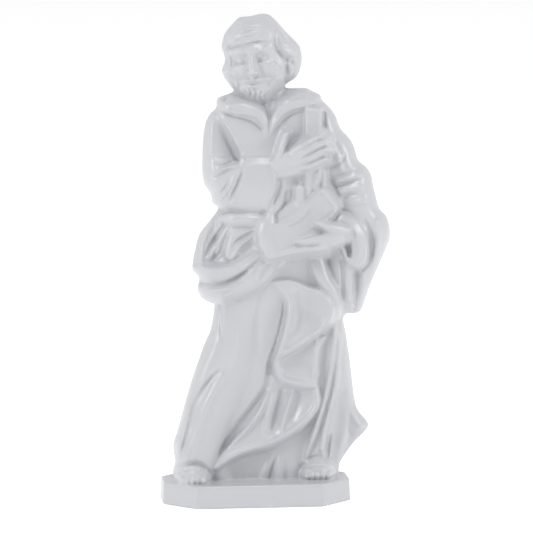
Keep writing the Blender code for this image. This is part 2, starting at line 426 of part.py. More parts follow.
def far_side(c):
    """The cloak and sleeve beyond the far hand."""
    c.fold([(17.5, 48.6, -0.4, 0.6), (17.5, 44.5, -0.6, 0.6), (17.4, 40.6, -0.4, 0.5)])
    c.rod([(18.6, 48.2, 5.0, 0.8, 0.7), (18.7, 44.5, 4.8, 0.8, 0.7), (18.6, 40.8, 4.4, 0.7, 0.7)],
          blend=0.4)
    c.fold([(20.1, 47.4, -0.8, 0.8), (20.1, 43, -1.0, 0.8), (19.8, 38.8, -0.6, 0.6)])
    c.fold([(21.8, 46.5, 0.3, 0.8), (21.7, 43, 0.5, 0.9), (21.1, 39.5, 0.3, 0.8)])
    c.fold([(24.4, 56.4, 0.3, 0.9), (24.7, 52.6, 0.5, 0.9), (24.2, 49, 0.4, 0.9),
            (23.2, 45.6, 0.1, 0.8)])
    # the sleeve's wrinkles
    c.fold([(14.8, 66.8, -0.35, 0.6), (16.6, 67.7, -0.4, 0.6), (17.6, 68.7, -0.25, 0.6),
            (18.6, 70.6, -0.05, 0.5)], steep=-0.5)
    c.fold([(15.4, 65.1, -0.35, 0.6), (18, 65.7, -0.4, 0.6), (20.4, 66.6, -0.1, 0.6)], steep=-0.5)
    c.fold([(16.2, 63.2, -0.5, 0.8), (18.6, 64.0, -0.55, 0.8), (21.6, 64.8, -0.1, 0.7)], steep=-0.5)
    c.fold([(17.8, 60.9, -0.4, 0.7), (19.2, 61.6, -0.4, 0.7), (22.8, 61.5, -0.05, 0.6)], steep=-0.5)
    c.fold([(17.4, 58.7, -0.4, 0.6), (19.8, 58.0, -0.1, 0.5)])
    c.fold([(14.6, 72.5, 0.15, 0.8), (16.4, 69.6, 0.4, 0.9), (17.2, 66.8, 0.4, 0.9)])
    c.fold([(16.4, 64.4, 0.4, 0.7), (19, 65, 0.4, 0.7), (21.4, 65.6, 0.2, 0.7)])
    c.fold([(17.2, 62.2, 0.4, 0.8), (20, 63, 0.4, 0.8), (22.4, 63.2, 0.2, 0.8)])
    c.fold([(18.6, 59.8, 0.3, 0.8), (21, 60.2, 0.4, 0.9), (23.2, 60.2, 0.2, 0.8)])
    # the dark gap between the chest and the sleeve
    c.fold([(13.9, 77.4, -0.2, 0.5), (13.9, 73.4, -0.4, 0.6), (14.1, 69.6, -0.6, 0.7),
            (14.4, 65.6, -1.0, 0.9), (15.5, 63.0, -1.0, 0.9), (16.5, 60.6, -0.6, 0.7)])
    # cuff: a thick ring round the wrist
    c.panel([(15.4, 57.0), (17.0, 58.1), (20.0, 56.9), (21.8, 54.6), (22.5, 52.4), (22.5, 49.6),
             (21.7, 47.8), (20.4, 47.0), (18.9, 47.3), (18.0, 48.4), (17.1, 50.6), (16.4, 52)],
            [(16.4, 57, 6.4), (20.6, 55, 6.6), (21.8, 50.5, 6.2), (20.2, 48, 6.0), (18.2, 49.5, 6.2),
             (17.4, 53, 6.8)], edge=1.0, blend=0.3)
    c.fold([(15.8, 56.6, 0.2, 0.7), (17.6, 56.4, 0.4, 0.8), (19.2, 55.5, 0.5, 0.8),
            (20.3, 54.1, 0.5, 0.8), (20.9, 52, 0.5, 0.8), (20.8, 49.6, 0.4, 0.8),
            (20.0, 48.1, 0.2, 0.7)])
    c.pit([(17.7, 52.4), (18.5, 52.5), (18.9, 51.7), (19.05, 50.4), (19.0, 49.4), (18.7, 49.4),
           (18.3, 50.8)], [(18.6, 51, 4.7)], edge=0.5, blend=0.25)
    c.fold([(21.9, 56.6, -0.2, 0.5), (23.0, 54.2, -0.7, 0.7), (23.3, 51.4, -0.9, 0.8),
            (22.9, 48.6, -0.7, 0.7), (21.8, 46.8, -0.3, 0.6)])


def waist(c):
    """Belt end, the cloth that hangs from it, and the dark gap beside it."""
    c.fold([(-7.0, 58.4, 0.3, 0.7), (-8.8, 55.6, 0.6, 0.8), (-10.3, 52.8, 0.7, 0.8),
            (-10.8, 50, 0.6, 0.8), (-10.8, 47.6, 0.4, 0.8)])
    c.fold([(-6.0, 55.9, -0.5, 0.5), (-7.4, 53.8, -0.9, 0.6), (-8.8, 51.6, -0.8, 0.6),
            (-9.6, 49.6, -0.4, 0.6)])
    c.fold([(-5.6, 54.8, 0.2, 0.5), (-7.2, 52.2, 0.4, 0.7), (-8.6, 49.8, 0.2, 0.6)])
    c.fold([(-5.6, 53.0, -0.2, 0.5), (-6.2, 51.4, -0.4, 0.7), (-6.9, 49.8, -0.7, 0.8),
            (-8.2, 48.8, -0.5, 0.7)])
    c.panel([(-4.6, 55.8), (-5.2, 53.6), (-6.0, 50.6), (-5.8, 48.9), (-4.6, 48.3), (-3.2, 49),
             (-0.6, 50), (1.0, 50.4), (1.6, 53), (1.2, 56)], [(-4.8, 54, 5.8), (-5.6, 50, 6.0),
        (-3.6, 49.2, 6.4), (0.8, 51, 6.4), (1, 55, 6.8), (-2, 52, 6.2)], edge=0.9)
    c.fold([(0.2, 54.4, -0.4, 0.45), (-1.6, 53.6, -0.6, 0.5), (-3.4, 52.5, -0.5, 0.5),
            (-4.4, 51.4, -0.1, 0.4)])
    c.fold([(-0.5, 53.4, 0.4, 0.5), (-2.0, 52.3, 0.55, 0.5), (-3.1, 51.2, 0.55, 0.5),
            (-4.3, 49.3, 0.4, 0.5)])
    c.fold([(-2.2, 50.6, -0.3, 0.9), (-0.6, 51.6, -0.5, 1.1), (0.6, 52.4, -0.3, 0.8)])
    c.rod([(-6.2, 57.0, 5.0, 0.9, 0.8), (-4.6, 56.8, 6.2, 1.3, 1.0), (-2.4, 56.7, 6.8, 1.4, 1.1),
           (0.8, 56.6, 7.2, 1.4, 1.1)], blend=0.15)
    c.fold([(-4.8, 55.3, -0.2, 0.35), (-2.4, 55.2, -0.4, 0.4), (0.6, 55.1, -0.3, 0.4)])


def chest(c):
    """The tunic's front and the folded collar."""
    c.panel([(-7.0, 78.4), (-0.4, 77.4), (2.8, 75.0), (5, 77), (8, 79), (10.4, 79), (12.6, 78),
             (12.6, 66), (4, 62), (-2.6, 67), (-3.0, 70.2), (-4.2, 72.6), (-5.4, 75.0)],
            [(-6.4, 77.6, 4.6), (-3, 76, 5.2), (8, 76, 5.4), (4, 66, 6.4), (-2, 70, 6.0), (9.6, 68, 5.8),
             (12.4, 74, 5.0)], edge=0.6, blend=0.6)
    c.fold([(-6.8, 74.6, -0.1, 0.6), (-5.8, 72.8, -0.35, 0.7), (-4.9, 71.2, -0.6, 0.75),
            (-4.2, 69.8, -0.8, 0.8), (-3.5, 68.4, -0.7, 0.75)])
    c.fold([(-8.0, 77.8, 0.1, 0.5), (-6.6, 76.6, 0.4, 0.5), (-5.0, 74.2, 0.55, 0.55),
            (-3.5, 71.4, 0.6, 0.55), (-2.6, 69.8, 0.5, 0.5), (-2.1, 68.4, 0.2, 0.4)])
    c.fold([(5.0, 73.8, 0.15, 0.6), (5.2, 76.2, 0.2, 0.6)])


def collar(c):
    # neck opening, with the strand and the hollow beside it
    c.fold([(-3.0, 81.0, -0.2, 0.5), (-2.1, 80.1, -0.7, 0.6), (-1.0, 79.2, -0.4, 0.5)])
    c.fold([(-1.1, 79.9, 0.2, 0.3), (-0.4, 79.2, 0.4, 0.32), (0.3, 78.4, 0.2, 0.3)])
    c.fold([(1.6, 80.2, -0.4, 0.5), (2.0, 78.6, -0.8, 0.5), (2.4, 76.8, -0.6, 0.4)])
    c.fold([(3.8, 80.8, 0.3, 0.3), (3.7, 79.6, 0.4, 0.32), (3.4, 78.4, 0.2, 0.3)])
    c.rod([(-7.0, 80.4, 4.0, 0.9, 0.9), (-6.4, 79.4, 4.8, 1.3, 1.1), (-4, 79.0, 5.6, 1.5, 1.1),
           (-1, 78.5, 6.2, 1.3, 1.1), (0.7, 77.7, 6.4, 1.1, 1.0), (1.8, 76.2, 6.4, 0.9, 0.8),
           (2.5, 73.8, 6.0, 0.5, 0.5)], blend=0.3)
    c.rod([(12.2, 81.2, 4.2, 1.1, 0.9), (11.4, 80.4, 5.0, 1.3, 1.1), (8.2, 80.0, 5.8, 1.5, 1.1),
           (6.2, 79.2, 6.2, 1.4, 1.1), (4.9, 77.8, 6.4, 1.1, 1.0), (4.0, 76.2, 6.4, 0.9, 0.8),
           (3.2, 74.0, 6.0, 0.5, 0.5)], blend=0.3)
    c.rod([(7.0, 82.0, 3.6, 1.0, 0.8), (9.6, 82.2, 3.8, 1.0, 0.8), (12.0, 81.8, 3.6, 0.8, 0.8)],
          blend=0.3)
    c.fold([(-6.4, 81.2, 0.1, 0.6), (-5.4, 80.2, -0.3, 0.6), (-3, 80.4, -0.6, 0.6)])
    c.fold([(-7.4, 79.7, 0.1, 0.4), (-6.4, 78.8, 0.35, 0.4), (-4, 78.2, 0.35, 0.4),
            (-1, 77.7, 0.35, 0.4), (0.6, 77, 0.35, 0.4), (1.8, 75.6, 0.3, 0.4), (2.4, 73.8, 0.1, 0.4)])
    c.fold([(3.2, 74.2, 0.1, 0.4), (3.7, 75.6, 0.3, 0.4), (4.8, 77, 0.35, 0.4), (6, 78.2, 0.35, 0.4),
            (8, 79, 0.35, 0.4), (11, 79.6, 0.35, 0.4), (12.2, 80.4, 0.1, 0.4)])
    c.fold([(7.2, 80.4, -0.3, 0.6), (7.9, 80.9, -0.8, 0.8), (9.4, 81.3, -0.4, 0.6)])
    # shadow line under both halves
    c.fold([(-7.6, 78.9, -0.2, 0.4), (-6, 78.0, -0.5, 0.4), (-3.4, 77.3, -0.3, 0.4),
            (-0.4, 76.3, -0.3, 0.4), (1.4, 74.8, -0.3, 0.4)], steep=0.4)
    c.fold([(4.4, 75, -0.3, 0.4), (5.8, 76.6, -0.3, 0.4), (7.4, 77.8, -0.3, 0.4), (9.6, 78.2, -0.3, 0.4),
            (11.8, 78.6, -0.3, 0.4)])


def near_arm(c):
    """The near forearm's broad sleeve across the waist, and its wrinkles."""
    c.panel([(-8.6, 60.2), (-9.6, 62.6), (-9.4, 65.5), (-7.0, 67.6), (-3.4, 68.4), (-1, 68.8),
             (2.4, 68.9), (3.8, 68.0), (4.3, 66.4), (4.6, 64.8), (4.5, 63.2), (4.1, 61.6), (3.4, 60.3),
             (3.0, 59.2), (3.0, 58.3), (1.8, 57.9), (0.6, 57.8), (-2, 58.1), (-4.2, 58.5), (-6.8, 59.2)],
            [(-9, 61, 4.2), (-8.4, 65.4, 5.0), (-4, 67.6, 6.2), (2.6, 68, 7.0), (4.2, 64.6, 7.8),
             (1.6, 59, 7.6), (-4, 59.2, 6.4), (-1, 64, 7.4), (-6, 63, 6.3)], edge=2.0, blend=0.8)
    c.fold([(3.2, 68.6, 0.1, 0.5), (3.7, 66.7, 0.4, 0.55), (4.0, 65, 0.5, 0.6), (3.9, 63.2, 0.5, 0.6),
            (3.3, 61.2, 0.5, 0.7), (2.6, 59.8, 0.5, 0.7), (2.6, 58.6, 0.4, 0.6)])
    c.fold([(-2.4, 66.6, -0.2, 0.4), (-3.0, 64.8, -0.6, 0.5), (-3.9, 62.8, -0.6, 0.5),
            (-4.6, 61, -0.4, 0.4), (-5.1, 59.8, -0.1, 0.4)])
    c.fold([(-1.9, 66.2, 0.15, 0.5), (-3.0, 63.4, 0.3, 0.5), (-4.0, 61.2, 0.3, 0.5),
            (-4.8, 59.8, 0.1, 0.5)])
    c.fold([(-3.6, 65.8, 0.1, 0.5), (-4.8, 63.9, 0.4, 0.5), (-6.0, 61.9, 0.4, 0.5),
            (-7.1, 60.5, 0.15, 0.5)])
    c.fold([(-4.6, 64.8, -0.05, 0.4), (-5.6, 63.3, -0.4, 0.45), (-6.5, 62.2, -0.35, 0.45),
            (-7.4, 61.4, -0.1, 0.4)])
    c.fold([(-9.0, 69.3, -0.1, 0.5), (-7, 69.1, -0.4, 0.5), (-4.8, 69.3, -0.3, 0.5)])
    c.fold([(-8.2, 67.7, -0.1, 0.5), (-6.4, 67.5, -0.5, 0.5), (-4.4, 67.9, -0.4, 0.5)])
    c.fold([(-8.6, 64.9, -0.1, 0.5), (-6.6, 65.9, -0.5, 0.5), (-4.2, 67.1, -0.4, 0.5)])
    c.fold([(-8.6, 66.2, 0.1, 0.5), (-6.6, 66.7, 0.3, 0.5), (-4.6, 67.5, 0.2, 0.5)])
    c.fold([(-8.4, 77, 0.2, 0.7), (-8.8, 74, 0.35, 0.8), (-8.8, 70, 0.3, 0.8)])
    c.fold([(-3.6, 68.8, -0.3, 0.6), (-2.2, 69.1, -0.25, 0.5), (0.6, 69.2, -0.25, 0.5),
            (3.0, 69.2, -0.25, 0.5)])
    # under the sleeve
    c.fold([(-7.6, 58.9, -0.2, 0.4), (-6.4, 58.7, -0.25, 0.4), (-4, 58.0, -0.25, 0.4),
            (-1, 57.5, -0.25, 0.4), (1.4, 57.2, -0.2, 0.4)])
    # the sleeve's opening: crescent hollow and the inner edge
    c.rod([(5.7, 64.6, 6.8, 0.45, 0.5), (5.7, 63, 7.0, 0.5, 0.6), (5.45, 61.6, 7.1, 0.5, 0.6),
           (5.15, 60.2, 7.2, 0.5, 0.6), (4.7, 59.2, 7.3, 0.5, 0.6), (4.0, 58.5, 7.4, 0.55, 0.6),
           (3.2, 58.2, 7.6, 0.6, 0.6)], blend=0.15)
    c.rod([(4.8, 64.8, 6.6, 0.8, 0.4), (4.6, 62.4, 6.8, 0.8, 0.4), (4.1, 60.6, 7.2, 0.8, 0.4),
           (3.5, 59.2, 7.4, 0.8, 0.4)], blend=0.3)
    c.fold([(4.95, 64.4, -0.2, 0.35), (4.85, 63, -0.6, 0.4), (4.5, 61.8, -0.7, 0.42),
            (4.1, 60.8, -0.7, 0.42), (3.75, 59.8, -0.6, 0.4), (3.5, 59.2, -0.2, 0.35)])


def tools(c):
    """The flat bar and handles held against the chest, and the box they rise from."""
    c.rod([(4.6, 65, 6.2, 2.0, 0.8), (6.6, 62, 6.4, 3.0, 0.8), (9.6, 60, 6.4, 3.4, 0.8),
           (12.4, 63, 6.0, 2.6, 0.8)], blend=0.8)
    # flat bar with bevelled edges
    c.panel([(10.0, 79.0), (13.2, 79.0), (13.2, 72), (10.0, 72)], [(10, 79, 5.6), (13, 79, 5.7),
        (11.6, 72, 7.0)], edge=0.5, blend=0.1, sharp=True)
    c.fold([(12.9, 79, 0.25, 0.35), (12.9, 72, 0.25, 0.35)])
    c.fold([(13.8, 78, -0.9, 0.5), (13.8, 73, -1.2, 0.5)])
    # below the hand
    c.rod([(10.6, 66.5, 7.6, 0.7, 0.5), (10.7, 60.6, 7.2, 0.7, 0.5)], blend=0.1)
    c.rod([(11.8, 66.6, 7.2, 0.5, 0.4), (11.7, 62.8, 6.9, 0.5, 0.4)], blend=0.15)
    c.rod([(12.8, 67.0, 7.5, 0.42, 0.4), (12.5, 64.8, 7.3, 0.42, 0.4), (12.2, 62.8, 7.0, 0.42, 0.4)],
          blend=0.1)
    c.rod([(13.6, 66.5, 6.7, 0.55, 0.5), (13.7, 63.4, 6.6, 0.55, 0.5)], blend=0.15)
    c.rod([(9.3, 66.0, 6.6, 0.6, 0.4), (9.4, 63.8, 6.9, 0.6, 0.4)], blend=0.3)
    c.rod([(8.9, 62.8, 7.9, 1.0, 1.1), (8.9, 59, 7.9, 1.0, 1.1)], blend=0.1)
    # box: its top, its front face with a soft upper edge, and the rounded corner by the sleeve
    c.panel([(4.2, 57.4), (5.2, 58.6), (6.4, 59.8), (7.4, 60.7), (10, 61.0), (12.6, 62.8), (12, 60),
             (8, 56), (4.4, 55.4)], [(4.6, 57.6, 7.3), (7.2, 60.2, 7.0), (10, 60.8, 7.2),
                                     (6.6, 56.9, 8.3), (9.4, 58.9, 8.2), (12.4, 62, 7.6)],
            edge=0.3, blend=0.15)
    c.panel([(1.6, 55.8), (3.8, 56.0), (5.2, 56.8), (6.6, 57.7), (7.8, 58.5), (9, 59.4), (10, 60.2),
             (11.4, 61.4), (12.4, 62.4), (13.4, 63.3), (14.7, 62.8), (15.8, 61.2), (16.7, 59.6),
             (15.8, 57.4), (14.6, 55.6), (10, 50.4), (3, 48.9), (1.5, 51.0)], [(3.8, 55, 8.5),
        (9.0, 57.8, 8.3), (13, 62.2, 7.7), (16, 59.4, 7.7), (4, 50, 9.0), (12, 52, 8.7)],
            edge=0.8, blend=0.3)
    c.fold([(4.6, 55.9, 0.05, 0.8), (6.6, 57.0, 0.1, 0.8), (9, 58.7, 0.15, 0.8), (11.4, 60.7, 0.2, 0.75),
            (13.2, 62.5, 0.3, 0.6)])
    c.fold([(13.2, 62.7, 0.35, 0.5), (14.3, 61.6, 0.45, 0.55), (15.1, 60.4, 0.45, 0.55),
            (16.1, 59.3, 0.3, 0.5)])
    c.fold([(14.6, 62.9, -0.2, 0.4), (15.6, 61.3, -0.3, 0.4), (16.4, 59.9, -0.2, 0.4)])
    c.rod([(3.2, 57.9, 7.8, 0.8, 0.8), (2.7, 56.4, 8.5, 1.6, 1.4), (2.3, 54.4, 8.9, 2.1, 1.9),
           (2.4, 52.2, 9.1, 2.1, 1.9), (3.2, 50.8, 9.0, 1.6, 1.4)], blend=0.7)
    c.fold([(4.4, 57.5, -0.3, 0.5), (4.4, 56.9, -0.45, 0.55), (4.4, 56.2, -0.3, 0.5)])
    c.fold([(7.3, 62.6, -0.2, 0.4), (7.3, 61, -0.4, 0.4), (6.7, 60.1, -0.4, 0.45),
            (5.9, 59.5, -0.3, 0.45), (5.1, 58.7, -0.3, 0.45), (4.6, 58.1, -0.25, 0.45)])
    c.fold([(0.0, 54.4, -0.2, 0.5), (0.3, 52.8, -0.5, 0.5), (0.5, 51.2, -0.6, 0.5),
            (1.2, 50.2, -0.3, 0.5)])


def near_hand(c):
    """The near hand flat against the chest."""
    c.rod([(3.0, 66.4, 6.8, 1.7, 1.0), (5.0, 67.3, 7.8, 2.3, 1.2), (6.8, 68.1, 8.5, 2.5, 1.3),
           (8.2, 68.8, 8.7, 2.1, 1.2)], blend=0.3)
    c.rod([(4.6, 65.6, 7.2, 0.9, 0.8), (7.0, 66.0, 8.0, 0.9, 0.9), (9.2, 66.7, 8.3, 0.8, 0.8)],
          blend=0.4)
    c.rod([(4.6, 68.4, 7.8, 1.0, 1.0), (5.1, 70.2, 8.4, 0.75, 0.9), (5.6, 72.0, 8.4, 0.62, 0.8),
           (6.2, 73.8, 8.1, 0.5, 0.7)], blend=0.2)
    c.fold([(6.4, 71.4, -0.3, 0.4), (6.5, 70.5, -0.4, 0.4)])
    c.rod([(7.6, 70.1, 8.8, 0.85, 0.9), (9.2, 71.2, 9.4, 0.68, 0.9), (10.9, 72.2, 9.5, 0.62, 0.9),
           (12.7, 73.2, 8.9, 0.48, 0.7)], blend=0.06)
    c.rod([(8.2, 69.2, 8.9, 0.85, 0.9), (10.4, 70.4, 9.6, 0.68, 0.9), (12.2, 71.4, 9.6, 0.62, 0.9),
           (13.9, 72.2, 8.9, 0.48, 0.7)], blend=0.06)
    c.rod([(8.6, 68.1, 8.8, 0.85, 0.9), (10.8, 68.9, 9.5, 0.68, 0.9), (12.6, 69.9, 9.5, 0.62, 0.9),
           (14.2, 70.7, 8.8, 0.48, 0.7)], blend=0.06)
    c.rod([(8.8, 67.1, 8.5, 0.8, 0.8), (10.8, 67.3, 9.1, 0.64, 0.85), (12.3, 68.0, 9.1, 0.58, 0.85),
           (13.8, 68.8, 8.5, 0.46, 0.7)], blend=0.06)


def far_hand(c):
    """The far hand under the box: thumb over its edge, fingers along its bottom."""
    c.rod([(19.2, 53.6, 6.6, 1.8, 1.6), (17.4, 53.6, 8.0, 1.9, 1.6), (15.4, 53.2, 9.0, 1.9, 1.5),
           (13.2, 52.3, 9.3, 1.4, 1.3), (12.0, 51.8, 9.2, 1.1, 1.1)], blend=0.4)
    c.rod([(18.2, 54.2, 8.2, 1.0, 0.9), (16.2, 54.8, 9.2, 0.95, 0.9), (14.4, 55.3, 9.7, 0.8, 0.9),
           (13.1, 55.9, 9.8, 0.7, 0.9), (12.4, 56.0, 9.7, 0.62, 0.8)], blend=0.15)
    c.fold([(10.2, 53.8, -0.1, 0.3), (11.0, 54.3, -0.25, 0.32), (12.0, 54.9, -0.35, 0.35),
            (12.8, 54.6, -0.35, 0.32), (13.5, 54.4, -0.1, 0.3)])
    c.fold([(13.2, 54.1, -0.1, 0.6), (11.8, 53.8, -0.2, 0.6), (10.6, 53.4, -0.1, 0.5)])
    c.rod([(13.6, 52.8, 9.5, 0.9, 0.8), (11.4, 52.5, 10.0, 0.72, 0.8), (9.8, 52.2, 9.9, 0.64, 0.8),
           (8.5, 52.4, 9.5, 0.52, 0.6)], blend=0.08)
    c.rod([(13.6, 51.3, 9.2, 0.9, 0.9), (10.8, 50.9, 9.5, 0.7, 0.75), (7.6, 50.3, 9.5, 0.6, 0.65),
           (5.0, 49.6, 9.3, 0.52, 0.6), (2.9, 49.1, 8.8, 0.45, 0.5)], blend=0.15)
    c.fold([(7.4, 51.5, -0.1, 0.3), (8.8, 51.55, -0.25, 0.3), (10.8, 51.5, -0.25, 0.3),
            (12.6, 51.6, -0.1, 0.3)])
    c.fold([(17.4, 59.3, 0.5, 0.4), (16.4, 58.6, 0.65, 0.42), (15.3, 57.5, 0.6, 0.42),
            (14.2, 56.6, 0.3, 0.38)])
    c.fold([(17.1, 58.2, -0.2, 0.35), (16.6, 57.6, -0.45, 0.36), (16.1, 56.9, -0.5, 0.36),
            (15.6, 56.3, -0.3, 0.33)])
    c.fold([(15.4, 58.5, -0.15, 0.35), (14.6, 57.6, -0.2, 0.35), (13.9, 56.9, -0.15, 0.3)])


HEAD = np.array([0.5, 88.9, 0.4])
TURN = turned(-14, 8, 6)


def in_head(u, v, w):
    return HEAD + TURN @ np.array([u, v, w], float)


def lump(c, side, at, radii, blend=0.4, turn=np.eye(3)):
    ball(c, in_head(*at), radii, TURN @ turn, blend, side)


def stroke(c, points, steep=0.0):
    """A fold whose points (right, up, out, height, half width) are the head's own."""
    line = []
    for u, v, w, height, width in points:
        a, h, _ = in_head(u, v, w)
        line.append((a, h, height, width))
    c.fold(line, steep=steep)


def head(c, side=1.0):
    lump(c, side, (0.3, -8, -1.5), (3.6, 5.0, 3.6))                    # neck
    lump(c, side, (0.2, 1.3, -0.8), (5.6, 6.6, 6.0))                   # skull
    if side < 0:
        return
    lump(c, side, (0, -0.8, 0.7), (5.1, 6.6, 4.8), 0.6)            # face
    for s in (-1, 1):
        lump(c, side, (s * 4.6, -1.6, -0.4), (1.9, 4.2, 3.2), 0.8)  # side of the head
    lump(c, side, (0, -5.0, 2.2), (4.3, 3.0, 3.6), 0.9)            # beard
    lump(c, side, (0, -6.9, 2.3), (3.3, 1.9, 2.7), 0.9)
    for s in (-1, 1):
        lump(c, side, (s * 2.7, -1.6, 3.4), (2.0, 1.6, 1.4), 1.2)  # cheek
        lump(c, side, (s * 3.7, -4.0, 1.9), (1.6, 2.8, 2.5), 0.9)  # beard along the jaw
    lump(c, side, (0, 2.4, 4.1), (3.8, 1.2, 1.5), 0.5)             # brow
    for s in (-1, 1):                                              # sockets, eyes and lids
        u = s * 2.05
        stroke(c, [(u - 0.7, 0.6, 5, -0.85, 1.15), (u + 0.7, 0.6, 5, -0.85, 1.15)])
        lump(c, side, (s * 0.95, 0.5, 3.5), (0.5, 0.9, 0.8), 0.5)
        lump(c, side, (u, 0.4, 3.65), (1.1, 0.8, 1.0), 0.1)
        stroke(c, [(u - 1.15, 0.35, 5, 0.15, 0.24), (u - 0.5, 0.95, 5, 0.45, 0.3),
                   (u + 0.5, 0.95, 5, 0.45, 0.3), (u + 1.15, 0.35, 5, 0.15, 0.24)])
        stroke(c, [(u - 1.0, 0.1, 5, 0.1, 0.24), (u, -0.35, 5, 0.35, 0.28),
                   (u + 1.0, 0.1, 5, 0.1, 0.24)])
        stroke(c, [(u - 1.4, 1.7, 5, 0.1, 0.4), (u, 2.1, 5, 0.4, 0.45), (u + 1.4, 1.7, 5, 0.1, 0.4)])
    lump(c, side, (0, -0.1, 5.2), (0.75, 2.8, 1.6), 0.4, turned(0, -20, 0))
    lump(c, side, (0, -1.9, 6.1), (0.75, 0.8, 1.1), 0.5)
    for s in (-1, 1):
        lump(c, side, (s * 0.75, -2.1, 5.4), (0.55, 0.55, 0.9), 0.4)
        stroke(c, [(s * 1.3, 0.0, 5, -0.05, 0.5), (s * 1.4, -1.2, 5, -0.2, 0.6),
                   (s * 1.7, -2.4, 5, -0.15, 0.5)])
    # moustache, lips and the strands of the beard
    for s in (-1, 1):
        stroke(c, [(s * 0.15, -3.3, 6, 0.4, 0.5), (s * 1.3, -3.4, 5.6, 0.7, 0.65),
                   (s * 2.5, -3.6, 5, 0.6, 0.6), (s * 3.4, -4.0, 4.5, 0.1, 0.4)])
    stroke(c, [(-1.3, -4.0, 5.6, -0.1, 0.3), (0, -4.15, 6, -0.3, 0.3), (1.3, -4.0, 5.6, -0.1, 0.3)])
    stroke(c, [(-0.9, -4.65, 5.6, 0.15, 0.3), (0, -4.75, 6, 0.4, 0.36), (0.9, -4.65, 5.6, 0.15, 0.3)])
    stroke(c, [(-0.9, -5.3, 5.6, -0.1, 0.35), (0, -5.35, 6, -0.4, 0.4), (0.9, -5.3, 5.6, -0.1, 0.35)])
    for k in range(9):
        u = -4.4 + 1.1 * k
        v = -5.5 + 0.13 * u**2
        stroke(c, [(u, v, 4, 0.0, 0.3), (0.95 * u + 0.25, v - 0.9, 4, 0.6, 0.42),
                   (0.85 * u - 0.15, v - 1.9, 4, 0.6, 0.42), (0.72 * u + 0.1, v - 2.9, 4, 0.2, 0.34)])
    for s in (-1, 1):
        for k in range(2):
            u, v = s * (5.0 - 0.7 * k), -0.2 - 0.5 * k
            stroke(c, [(u, v, 2.6, 0.05, 0.3), (u, v - 1.1, 3, 0.28, 0.36),
                       (u - s * 0.2, v - 2.3, 3.4, 0.05, 0.3)])


